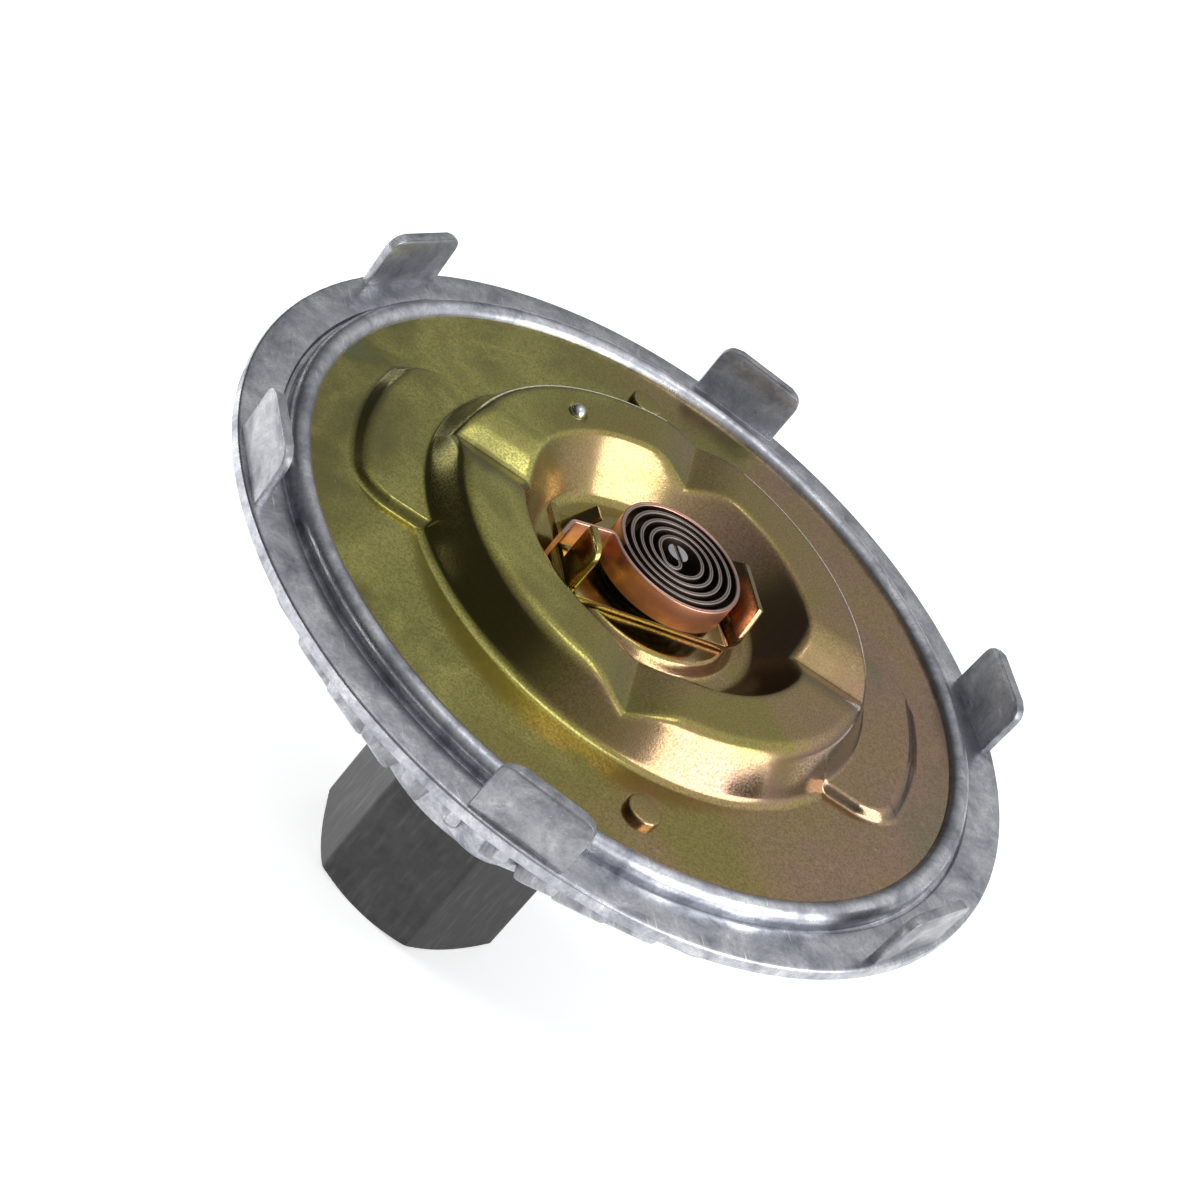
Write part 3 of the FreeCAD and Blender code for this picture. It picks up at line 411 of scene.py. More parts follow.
def simple_metal(name, colour, roughness):
    """Bare or plated metal with a light cloud."""
    it = Finish(name, Metallic=1.0)
    cloud = it.noise(6, detail=4, rough=0.6)
    dark = tuple(0.7 * part for part in colour)
    it.colour(it.mix(it.span(cloud, 0.3, 0.7), colour, dark))
    it.roughness(it.span(cloud, 0.3, 0.7, roughness, roughness + 0.12))
    it.bump(it.noise(0.6, detail=3), 0.01)
    return it.material


def dark_steel():
    """The dark coat of the shaft and its hexagon, with streaks along the axis."""
    it = Finish("dark_steel", Specular_IOR_Level=0.18)
    cloud = it.noise(5, detail=5, rough=0.6)
    streak = it.noise(1.2, detail=3, place=it.stretched(z=0.15))
    base = it.mix(it.span(cloud, 0.3, 0.7), (0.07, 0.068, 0.069), (0.115, 0.112, 0.112))
    it.colour(it.mix(it.span(streak, 0.45, 0.8, 0, 0.4), base, (0.24, 0.235, 0.235)))
    it.roughness(it.span(cloud, 0.3, 0.7, 0.42, 0.6))
    it.bump(it.noise(0.5, detail=3), 0.015)
    return it.material


def plain(name, colour, roughness):
    """Rubber or plastic with a fine mottled surface."""
    it = Finish(name)
    cloud = it.noise(2, detail=4)
    dark = tuple(0.6 * part for part in colour)
    it.colour(it.mix(it.span(cloud, 0.3, 0.7), colour, dark))
    it.roughness(it.span(cloud, 0.3, 0.7, roughness, roughness + 0.15))
    it.bump(it.noise(0.4), 0.02)
    return it.material


ZINC = zinc_yellow()
ALUMINIUM = cast_aluminium("cast_aluminium", 1.0, 1.0)
# Painted shade: the tabs' aluminium is darkened to 0.75 to stand in for the shade on them.
TAB_ALUMINIUM_PAINTED_SHADE = cast_aluminium("tab_aluminium_painted_shade", 0.75, 0.5)
DARK_STEEL = dark_steel()
BRIGHT_STEEL = simple_metal("bright_steel", (0.66, 0.66, 0.67), 0.16)
BEARING_STEEL = simple_metal("bearing_steel", (0.58, 0.58, 0.60), 0.14)
SPRING_STEEL = simple_metal("spring_steel", (0.20, 0.20, 0.22), 0.35)
BRASS = simple_metal("bush_brass", (0.60, 0.45, 0.20), 0.25)
COIL_FACE = simple_metal("coil_face", (0.90, 0.42, 0.27), 0.3)
COIL_EDGE = simple_metal("coil_edge", (0.40, 0.34, 0.31), 0.34)
# Painted shade: a near-black finish for the coil's faces in its gaps, standing in for the shade
# between the turns.
COIL_INSIDE_PAINTED_SHADE = simple_metal("coil_inside_painted_shade", (0.11, 0.075, 0.06), 0.4)
RUBBER = plain("seal_rubber", (0.02, 0.02, 0.022), 0.55)
PLASTIC = plain("cage_plastic", (0.24, 0.12, 0.05), 0.45)

NODE_FINISHES = {
    "cast_aluminium": ALUMINIUM,
    "yellow_zinc": ZINC,
    "dark_steel": DARK_STEEL,
    "bearing_steel": BEARING_STEEL,
    "spring_steel": SPRING_STEEL,
    "bright_steel": BRIGHT_STEEL,
    "bimetal": COIL_FACE,
    "bush_brass": BRASS,
    "seal_rubber": RUBBER,
    "plastic": PLASTIC,
}


def finish_nodes():
    """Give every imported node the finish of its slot."""
    for entry in frame["record"]["subparts"]:
        materials = frame["nodes"][entry["node"]].data.materials
        materials.clear()
        materials.append(NODE_FINISHES[entry["material_slot"]])


# Pressed cover

COVER_SHEET = 1.5
COVER_TURN = 66.5
FLAT_TOP = FLANGE_FACE + COVER_SHEET
RING_FOOT_RAD = 46.0
RING_TOP_RAD = 41.3
BOWL_TOP_RAD = 29.8
BOWL_FLOOR_RAD = 22.4
BOWL_FLOOR = FLAT_TOP - 0.5
HUB_FOOT_RAD = 18.6
HUB_TOP_RAD = 17.0
HUB_TOP = BOWL_FLOOR + 2.2
BUSH_RAD = 4.0
GROOVE_COUNT = 4
GROOVE_DEPTH = 3.0
GROOVE_HALF_WIDTH = 7.0
GROOVE_BLEND = 1.4
EAR_COUNT = 2
EAR_START_RAD = 30.0
EAR_FULL_RAD = 36.0
EAR_HALF_WIDTH = 21.5
EAR_RAD = 58.3
EAR_CORNER = 6.0
EAR_SIDE_RUN = 0.8
EAR_OUTER_RUN = 2.4
EAR_RISE = 1.9
BUTTON_CIRCLE_RAD = 56.0
BUTTON_RAD = 3.25
BUTTON_RISE = 1.3
BUTTON_TURN = COVER_TURN + 100
PLUG_CIRCLE_RAD = 34.5
PLUG_TURN = COVER_TURN + 135
PLUG_SEAT_DEPTH = 0.5
PLUG_SEAT_RAD = 1.2
PLUG_SEAT_EDGE_RAD = 2.3
COVER_ROW_STEP = 0.95
EAR_ROW_STEP = 0.42

# A quarter's columns lie at nominal turns of -45 to 45. The groove's edge takes one of them and
# the ear's side another, whatever their real directions are at a radius.
QUARTERS = 4
QUARTER_TURN = 45.0
GROOVE_COLUMN = 12.0
EAR_COLUMN = 26.0
GROOVE_REACH = (24.0, 62.0)
EAR_REACH = (44.0, 60.0)
LONGEST_TURN = 1.3
CLOSE_TURNS = (
    (0.0, 1.6, 0.2),
    (GROOVE_COLUMN, 2.4, 0.3),
    (EAR_COLUMN, 1.5, 0.15),
    (EAR_COLUMN, 6.0, 0.5),
)

COVER_LINE = rounded(
    [(BUSH_RAD, HUB_TOP), (HUB_TOP_RAD, HUB_TOP), (HUB_FOOT_RAD, BOWL_FLOOR),
     (BOWL_FLOOR_RAD, BOWL_FLOOR), (BOWL_TOP_RAD, RING_TOP), (RING_TOP_RAD, RING_TOP),
     (RING_FOOT_RAD, FLAT_TOP), (COVER_RAD, FLAT_TOP)],
    [0, 1.2, 1.0, 2.6, 1.6, 3.2, 2.2, 0])


def beside(x, y, direction):
    """How far points lie along a direction from the axis, and how far to its side."""
    turn = math.radians(direction)
    return x * math.cos(turn) + y * math.sin(turn), y * math.cos(turn) - x * math.sin(turn)


def cover_height(x, y):
    """The height of the cover's front face."""
    radius = np.hypot(x, y)
    height = np.interp(radius, COVER_LINE[:, 0], COVER_LINE[:, 1])
    for number in range(GROOVE_COUNT):
        along, side = beside(x, y, COVER_TURN + 360 / GROOVE_COUNT * number)
        slope = GROOVE_DEPTH / GROOVE_HALF_WIDTH
        floor = RING_TOP - GROOVE_DEPTH + slope * (np.sqrt(side ** 2 + 0.05) - 0.1)
        cut = soft_min(height, floor, GROOVE_BLEND)
        height = np.where(along > 0, cut, height)
    for number in range(EAR_COUNT):
        along, side = beside(x, y, COVER_TURN + 360 / EAR_COUNT * number)
        across = np.maximum(np.abs(side) - (EAR_HALF_WIDTH - EAR_CORNER), 0)
        outward = np.maximum(radius - (EAR_RAD - EAR_CORNER), 0)
        inside = EAR_CORNER - np.hypot(across, outward)
        lean = outward / (across + outward + 1e-6)
        run = EAR_SIDE_RUN + (EAR_OUTER_RUN - EAR_SIDE_RUN) * lean
        share = soft_min(soft_max(inside / run, 0, 0.25), 1, 0.4)
        share = share * ramp(along, EAR_START_RAD, EAR_FULL_RAD)
        rise = EAR_RISE * np.clip(share, 0, 1)
        above = np.maximum(height - FLAT_TOP, 0)
        joined = FLAT_TOP + np.cbrt(above ** 3 + rise ** 3)
        raised = (along > EAR_START_RAD) & (height > FLAT_TOP - 0.01)
        height = np.where(raised, joined, height)
    along, side = beside(x, y, PLUG_TURN)
    edge = np.hypot(along - PLUG_CIRCLE_RAD, side)
    return height - PLUG_SEAT_DEPTH * (1 - ramp(edge, PLUG_SEAT_RAD, PLUG_SEAT_EDGE_RAD))


def cover_turns():
    """Nominal turns of a quarter's columns, close together at its groove and the ear's sides."""
    turns = []
    turn = -QUARTER_TURN
    while turn < QUARTER_TURN:
        turns.append(turn)
        steps = [step for middle, half, step in CLOSE_TURNS if abs(abs(turn) - middle) < half]
        turn += min(steps + [LONGEST_TURN])
    return np.array(turns)


def cover_angle(radius, turns):
    """Directions of a quarter's columns, which follow the groove's and the ear's straight edges."""
    ear_side = EAR_HALF_WIDTH - 0.5 * EAR_SIDE_RUN
    groove = np.degrees(np.arcsin(GROOVE_HALF_WIDTH / np.clip(radius, *GROOVE_REACH)))
    ear = np.degrees(np.arcsin(ear_side / np.clip(radius, *EAR_REACH)))
    size = np.abs(turns)
    to_ear = (size - GROOVE_COLUMN) / (EAR_COLUMN - GROOVE_COLUMN)
    to_end = (size - EAR_COLUMN) / (QUARTER_TURN - EAR_COLUMN)
    past_groove = np.where(size < EAR_COLUMN, groove + to_ear * (ear - groove),
                           ear + to_end * (QUARTER_TURN - ear))
    share = np.where(size < GROOVE_COLUMN, size / GROOVE_COLUMN * groove, past_groove)
    return np.sign(turns) * share


def make_cover():
    """The pressed cover: its front face is cover_height, and its rear lies one sheet behind."""
    line = refined(COVER_LINE, COVER_ROW_STEP)
    flat = (line[:, 0] > RING_FOOT_RAD + 1) & (line[:, 0] < EAR_RAD + 1.5)
    inner = line[~flat & (line[:, 0] < EAR_RAD)]
    outer = line[~flat & (line[:, 0] > EAR_RAD)]
    middle = refined(np.array([inner[-1], outer[0]]), EAR_ROW_STEP)[1:-1]
    line = np.concatenate([inner, middle, outer])
    turns = cover_turns()
    radius, turn = np.meshgrid(line[:, 0], turns, indexing="ij")
    quarter = cover_angle(radius, turn)
    starts = [COVER_TURN + 360 / QUARTERS * number for number in range(QUARTERS)]
    angle = np.concatenate([start + quarter for start in starts], axis=1)
    radius = np.tile(radius, (1, QUARTERS))
    x = radius * np.cos(np.radians(angle))
    y = radius * np.sin(np.radians(angle))
    z = cover_height(x, y)
    tiny = 0.03
    slope_x = (cover_height(x + tiny, y) - cover_height(x - tiny, y)) / (2 * tiny)
    slope_y = (cover_height(x, y + tiny) - cover_height(x, y - tiny)) / (2 * tiny)
    normal = np.stack([-slope_x, -slope_y, np.ones_like(z)], -1)
    normal = normal / np.linalg.norm(normal, axis=-1, keepdims=True)
    front = np.stack([x, y, z], -1)
    rear_rows = sorted(set(range(0, len(line), 3)) | {len(line) - 1})
    rear = front[rear_rows] - normal[rear_rows] * COVER_SHEET
    rear[:, :, 2] = np.maximum(rear[:, :, 2], FLANGE_FACE - 0.5)
    rows, columns = radius.shape
    faces = grid_faces(rows, columns, flip=True)
    first = rows * columns
    faces += grid_faces(len(rear_rows), columns, first)
    last_front = (rows - 1) * columns
    last_rear = first + (len(rear_rows) - 1) * columns
    for column in range(columns):
        side = (column + 1) % columns
        faces.append((last_front + column, last_front + side, last_rear + side, last_rear + column))
        faces.append((side, column, first + column, first + side))
    points = np.concatenate([front.reshape(-1, 3), rear.reshape(-1, 3)])
    normals = np.concatenate([normal.reshape(-1, 3), -normal[rear_rows].reshape(-1, 3)])
    piece = new_piece("front_cover_pressing", points, faces, "housing", ZINC)
    piece.data.normals_split_custom_set_from_vertices(normals.tolist())
    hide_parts("front_cover")


def make_buttons():
    """The two round buttons pressed out of the cover."""
    top = FLAT_TOP + BUTTON_RISE
    foot = FLAT_TOP - 0.4
    outline = rounded([(0.0, top), (BUTTON_RAD, top), (BUTTON_RAD, foot), (0.0, foot)],
                      [0, 0.5, 0, 0], step=0.1)
    columns = 72
    for number in range(2):
        ring = turned(outline, columns) + polar(BUTTON_CIRCLE_RAD, BUTTON_TURN + 180 * number, 0)
        faces = grid_faces(len(outline), columns)
        piece = new_piece(f"front_cover_button_{number + 1}", ring, faces, "housing",
                          ZINC)
        faced_out(piece, weld=True)
        sharpen(piece, 50)
        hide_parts("front_cover")


# Strips of sheet: the bracket's and the tabs' common way of building

STRIP_EDGE = 0.3


def strip(name, stations, thickness, material):
    """A bent strip of sheet on the housing, with softened edges.

    A station is (middle, normal, side, low, high): the middle of the sheet at that station, the
    sheet's normal, the direction across it, and how far it reaches to each side.
    """
    profile = []
    half = 0.5 * thickness
    soft = min(STRIP_EDGE, 0.95 * half)
    for sign_side, sign_face in ((-1, -1), (1, -1), (1, 1), (-1, 1)):
        corner = [(sign_side, -sign_side * soft, sign_face * half),
                  (sign_side, -sign_side * soft * 0.3, sign_face * (half - 0.3 * soft)),
                  (sign_side, 0.0, sign_face * (half - soft))]
        profile += corner if sign_side * sign_face < 0 else corner[::-1]
    points = []
    for middle, normal, side, low, high in stations:
        middle, normal, side = (np.array(part, float) for part in (middle, normal, side))
        for sign, inset, face in profile:
            reach = high if sign > 0 else low
            points.append(middle + side * (reach + inset) + normal * face)
    faces = capped_faces(len(stations), len(profile))
    piece = new_piece(name, points, faces, "housing", material)
    faced_out(piece)
    sharpen(piece, 40)
    return piece


def path_frames(line, side):
    """The points of a bent line with the sheet's normal at each, for a sheet that runs along it."""
    line = np.asarray(line, float)
    side = np.array(side, float)
    ahead = np.gradient(line, axis=0)
    ahead = ahead / np.linalg.norm(ahead, axis=1, keepdims=True)
    return [(spot, np.cross(side, way), side) for spot, way in zip(line, ahead)]


# Housing

HUB_REAR = foot_of("housing")
HUB_RAD = 27.0
HUB_CONE_START = BEARING_REAR + 10.9
HUB_CONE_RAD = 31.0
HUB_CONE_END = HUB_CONE_START + 10.0
CHAMBER_RAD = 56.0
CHAMBER_CHAMFER = 3.4
BELL_RAD = 59.5
CHAMBER_FLOOR = FLANGE_FACE - 13.4
WALL_REAR = CHAMBER_FLOOR - 4.0
FLANGE_RAD = 78.5
FLANGE_THICKNESS = 2.7
FLANGE_REAR = FLANGE_FACE - FLANGE_THICKNESS
FLANGE_ROOT_RAD = 64.0
RECESS_RAD = 68.5
LIP_EDGE_RAD = 70.0
LIP_RAD = 2.1
LIP_MID_RAD = LIP_EDGE_RAD - LIP_RAD
LIP_TOP = FLANGE_FACE + 3.1
LIP_MID = LIP_TOP - LIP_RAD
PLATE_SEAT = FLANGE_FACE - 1.0
SEAL_SEAT = FLAT_TOP - 0.3
GUTTER_DEPTH = 0.7
GUTTER_RAD = LIP_EDGE_RAD + 1.1
FLOOR_INNER_RAD = 28.0
SNAP_RAD = 24.55
SNAP_REAR = BEARING_REAR - 1.3
STOP_RAD = 21.8
STOP_TOP = BEARING_FRONT + 2.9
FIN_COUNT = 46
FIN_TURN = 2.3
FIN_THICKNESS = 2.2
FIN_REAR = WALL_REAR - 6.6
FIN_CORNER_RAD = 54.0
FIN_SHOULDER_RAD = 70.0
FIN_SHOULDER = FLANGE_FACE - 10.8
FIN_TOP_RAD = 72.0
FIN_EDGE = 0.55
ROOT_SINK = 1.5
FIN_IN_BOSS = 0.3
FIN_CUT_FLOOR = WALL_REAR + 1.0
BOSS_COUNT = 4
BOSS_CIRCLE_RAD = 47.0
BOSS_TURN = -31.0
BOSS_RAD = 8.5
BOSS_HOLE_RAD = 2.5
BOSS_HOLE_DEPTH = 9.0
BOSS_FOOT = WALL_REAR + ROOT_SINK
BOSS_PITCH = 1.0
BOSS_THREAD_DEPTH = 0.4
TAB_COUNT = 6
TAB_WIDTH = 18.0
TAB_HEIGHT = 11.1
TAB_THICKNESS = 1.7
TAB_LEAN = 1.5
TAB_CORNER = 3.0
TAB_FACE_RAD = 75.5
TAB_TURN = 30.0
TAB_BEND_RAD = 1.9
TAB_ROOT = 4.5


def add_casting(name, points, faces, crisp, weld=False):
    """A piece of the aluminium casting. Its edges stay crisp above an angle."""
    piece = new_piece(name, points, faces, "housing", ALUMINIUM)
    faced_out(piece, weld)
    sharpen(piece, crisp)
    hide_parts("housing")


def make_shell():
    """Hub, bell, flange and rolled lip, turned in one."""
    lip_start = math.sqrt(LIP_RAD ** 2 - (FLAT_TOP - LIP_MID) ** 2)
    lip = [(LIP_MID_RAD + LIP_RAD * math.cos(turn), LIP_MID + LIP_RAD * math.sin(turn))
           for turn in np.linspace(0, math.pi - math.asin((FLAT_TOP - LIP_MID) / LIP_RAD), 16)]
    outline = [
        (BEARING_RAD + 0.05, HUB_REAR, 0.3), (HUB_RAD, HUB_REAR, 0.6),
        (HUB_RAD, HUB_CONE_START, 3.0), (HUB_CONE_RAD, HUB_CONE_END, 3.0),
        (HUB_CONE_RAD + 4, WALL_REAR, 2.0), (CHAMBER_RAD - 1.7, WALL_REAR, 3.0),
        (BELL_RAD, CHAMBER_FLOOR + 2.0, 2.0), (BELL_RAD, FLANGE_REAR - 4.5, 1.5),
        (FLANGE_ROOT_RAD, FLANGE_REAR, 1.5), (FLANGE_RAD, FLANGE_REAR, 0.7),
        (FLANGE_RAD, FLANGE_FACE, 0.6), (GUTTER_RAD, FLANGE_FACE, 0.15),
        (GUTTER_RAD - 0.3, FLANGE_FACE - GUTTER_DEPTH, 0.1),
        (LIP_EDGE_RAD, FLANGE_FACE - GUTTER_DEPTH, 0.1), (LIP_EDGE_RAD, LIP_MID - 0.6, 0.0),
    ]
    outline += [(radius, height, 0.0) for radius, height in lip]
    outline += [
        (LIP_MID_RAD - lip_start + 0.4, SEAL_SEAT, 0.0), (RECESS_RAD, SEAL_SEAT, 0.0),
        (RECESS_RAD, PLATE_SEAT, 0.0), (CHAMBER_RAD, PLATE_SEAT, 0.3),
        (CHAMBER_RAD, CHAMBER_FLOOR + CHAMBER_CHAMFER, 1.0),
        (CHAMBER_RAD - CHAMBER_CHAMFER, CHAMBER_FLOOR, 1.0),
        (FLOOR_INNER_RAD, CHAMBER_FLOOR, 1.5), (STOP_RAD, STOP_TOP, 1.0),
        (STOP_RAD, BEARING_FRONT, 0.0),
        (BEARING_RAD + 0.02, BEARING_FRONT, 0.0), (BEARING_RAD + 0.02, BEARING_REAR, 0.1),
        (SNAP_RAD, BEARING_REAR, 0.0), (SNAP_RAD, SNAP_REAR, 0.0),
        (BEARING_RAD + 0.05, SNAP_REAR, 0.15),
    ]
    line = rounded([spot[:2] for spot in outline], [spot[2] for spot in outline], closed=True)
    line = refined(line, 3.0, closed=True)
    columns = 288
    faces = grid_faces(len(line), columns, wrap_rows=True)
    add_casting("housing_shell", turned(line, columns), faces, 40)


def plate(outline, thickness, rounding):
    """A flat plate in the XZ plane from a closed outline, with rounded edges: points and faces."""
    line = np.asarray(outline, float)
    back = line - np.roll(line, 1, axis=0)
    ahead = np.roll(line, -1, axis=0) - line
    back = back / np.linalg.norm(back, axis=1, keepdims=True)
    ahead = ahead / np.linalg.norm(ahead, axis=1, keepdims=True)
    inward = np.stack([-(back + ahead)[:, 1], (back + ahead)[:, 0]], -1)
    inward = inward / np.linalg.norm(inward, axis=1, keepdims=True)
    half = 0.5 * thickness
    rings = [(-half, rounding), (-half + 0.3 * rounding, 0.3 * rounding), (-half + rounding, 0.0),
             (half - rounding, 0.0), (half - 0.3 * rounding, 0.3 * rounding), (half, rounding)]
    points = []
    for across, inset in rings:
        moved = line + inward * inset
        points.append(np.insert(moved, 1, across, axis=1))
    return np.concatenate(points), capped_faces(len(rings), len(line))


def fin_outline(turn):
    """The outline of the fin at a direction, cut away where it meets a boss."""
    rear = [(HUB_RAD + 1, FIN_REAR, 0), (FIN_CORNER_RAD, FIN_REAR, 2.0)]
    for number in range(BOSS_COUNT):
        away = math.radians(turn - BOSS_TURN - 360 * number / BOSS_COUNT)
        side = BOSS_CIRCLE_RAD * math.sin(away)
        inside = (BOSS_RAD - FIN_IN_BOSS) ** 2 - side ** 2
        if math.cos(away) < 0 or inside < 1:
            continue
        near = BOSS_CIRCLE_RAD * math.cos(away) - math.sqrt(inside)
        far = BOSS_CIRCLE_RAD * math.cos(away) + math.sqrt(inside)
        cut = [(near, FIN_REAR, 0), (near, FIN_CUT_FLOOR, 0), (far, FIN_CUT_FLOOR, 0)]
        if far < FIN_CORNER_RAD - 2:
            rear = rear[:1] + cut + [(far, FIN_REAR, 0)] + rear[1:]
        else:
            share = max(0.0, (far - FIN_CORNER_RAD) / (FIN_SHOULDER_RAD - FIN_CORNER_RAD))
            rear = rear[:1] + cut + [(far, FIN_REAR + share * (FIN_SHOULDER - FIN_REAR) + 0.4, 0)]
    outline = rear + [
        (FIN_SHOULDER_RAD, FIN_SHOULDER, 2.5), (FIN_TOP_RAD, FLANGE_REAR + 0.9, 0),
        (BELL_RAD - ROOT_SINK, FLANGE_REAR, 0), (BELL_RAD - ROOT_SINK, CHAMBER_FLOOR + 3.5, 0),
        (CHAMBER_RAD - 4, WALL_REAR + ROOT_SINK, 0), (HUB_CONE_RAD + 7, WALL_REAR + ROOT_SINK, 0),
        (HUB_CONE_RAD - 1, FIN_REAR + 3, 0)]
    return rounded([spot[:2] for spot in outline], [spot[2] for spot in outline], closed=True)


def make_fins():
    """The fins round the bell, in one piece."""
    points = []
    faces = []
    first = 0
    for number in range(FIN_COUNT):
        direction = FIN_TURN + 360 * number / FIN_COUNT
        flat, plate_faces = plate(fin_outline(direction), FIN_THICKNESS, FIN_EDGE)
        turn = math.radians(direction)
        x = flat[:, 0] * math.cos(turn) - flat[:, 1] * math.sin(turn)
        y = flat[:, 0] * math.sin(turn) + flat[:, 1] * math.cos(turn)
        points.append(np.stack([x, y, flat[:, 2]], -1))
        faces += [tuple(corner + first for corner in face) for face in plate_faces]
        first += len(flat)
    add_casting("housing_fins", np.concatenate(points), faces, 50)


def make_bosses():
    """Bosses with a threaded hole each, for the fan's screws."""
    outline = [(0.0, FIN_REAR + BOSS_HOLE_DEPTH), (BOSS_HOLE_RAD, FIN_REAR + BOSS_HOLE_DEPTH)]
    threads = int(BOSS_HOLE_DEPTH / BOSS_PITCH) - 1
    for number in range(threads, 0, -1):
        outline.append((BOSS_HOLE_RAD, FIN_REAR + number * BOSS_PITCH))
        outline.append((BOSS_HOLE_RAD + BOSS_THREAD_DEPTH, FIN_REAR + (number - 0.5) * BOSS_PITCH))
    outline += [(BOSS_HOLE_RAD + 0.1, FIN_REAR + 0.35), (BOSS_HOLE_RAD + 0.6, FIN_REAR),
                (BOSS_RAD - 0.6, FIN_REAR), (BOSS_RAD, FIN_REAR + 0.6),
                (BOSS_RAD + 0.4, BOSS_FOOT), (0.0, BOSS_FOOT + 4)]
    columns = 48
    one = turned(np.array(outline), columns)
    points = []
    faces = []
    for number in range(BOSS_COUNT):
        place = polar(BOSS_CIRCLE_RAD, BOSS_TURN + 360 * number / BOSS_COUNT, 0)
        points.append(one + place)
        faces += grid_faces(len(outline), columns, first=number * len(one))
    add_casting("housing_bosses", np.concatenate(points), faces, 30, weld=True)


def make_tabs():
    """Tabs bent up from the flange's edge, leaning outward a little."""
    lean = math.radians(TAB_LEAN)
    top = FLANGE_FACE + TAB_HEIGHT
    middle = TAB_FACE_RAD + 0.5 * TAB_THICKNESS
    low = FLANGE_REAR + 0.5 * FLANGE_THICKNESS
    tip = (middle + (top - low) * math.tan(lean), top)
    corners = [(middle - TAB_ROOT, low - 0.1), (middle, low), tip]
    line = refined(rounded(corners, [0, TAB_BEND_RAD, 0], step=0.3), 0.5)
    length = run_of(line)
    for number in range(TAB_COUNT):
        turn = math.radians(TAB_TURN + 360 * number / TAB_COUNT)
        out = np.array([math.cos(turn), math.sin(turn), 0])
        side = np.array([-math.sin(turn), math.cos(turn), 0])
        path = [out * radius + np.array([0, 0, height]) for radius, height in line]
        stations = []
        for (spot, normal, across), here in zip(path_frames(path, side), length):
            left = max(0.0, here - (length[-1] - TAB_CORNER)) / TAB_CORNER
            inset = TAB_CORNER * (1 - math.sqrt(max(0.0, 1 - left ** 2)))
            reach = 0.5 * TAB_WIDTH - min(inset, TAB_CORNER * 0.98)
            stations.append((spot, normal, across, -reach, reach))
        tab = strip(f"housing_tab_{number + 1}", stations, TAB_THICKNESS,
                    TAB_ALUMINIUM_PAINTED_SHADE)
        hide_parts("housing")


# Drive shaft

HEX_ACROSS = 36.0
HEX_LENGTH = BEARING_REAR - 5.6
HEX_CHAMFER = 1.6
HEX_TURN = 47.5
HEX_CORNER_RAD = HEX_ACROSS / math.sqrt(3)
HEX_CHAMFER_SLOPE = math.tan(math.radians(30))
HEX_FACE_RAD = HEX_CORNER_RAD - HEX_CHAMFER / HEX_CHAMFER_SLOPE
COLLAR_RAD = 15.4
THREAD_MINOR_RAD = 11.19
THREAD_MAJOR_RAD = 12.0
THREAD_PITCH = 1.5
THREAD_DEPTH = 24.0
NOSE_RAD = 9.5
NOSE_END = 0.8
AXIS_RAD = 0.01


def hexagon_columns():
    """Directions round the hexagon, close together at its corners."""
    directions = []
    for number in range(6):
        corner = HEX_TURN + 60 * number
        for away in (-1.8, -1.2, -0.7, -0.35, 0.0, 0.35, 0.7, 1.2, 1.8, 3.0, 5.0, 8.0, 12.0):
            directions.append(corner + away)
        directions += [corner + away for away in np.arange(16.0, 57.5, 3.5)]
    return np.array(directions)


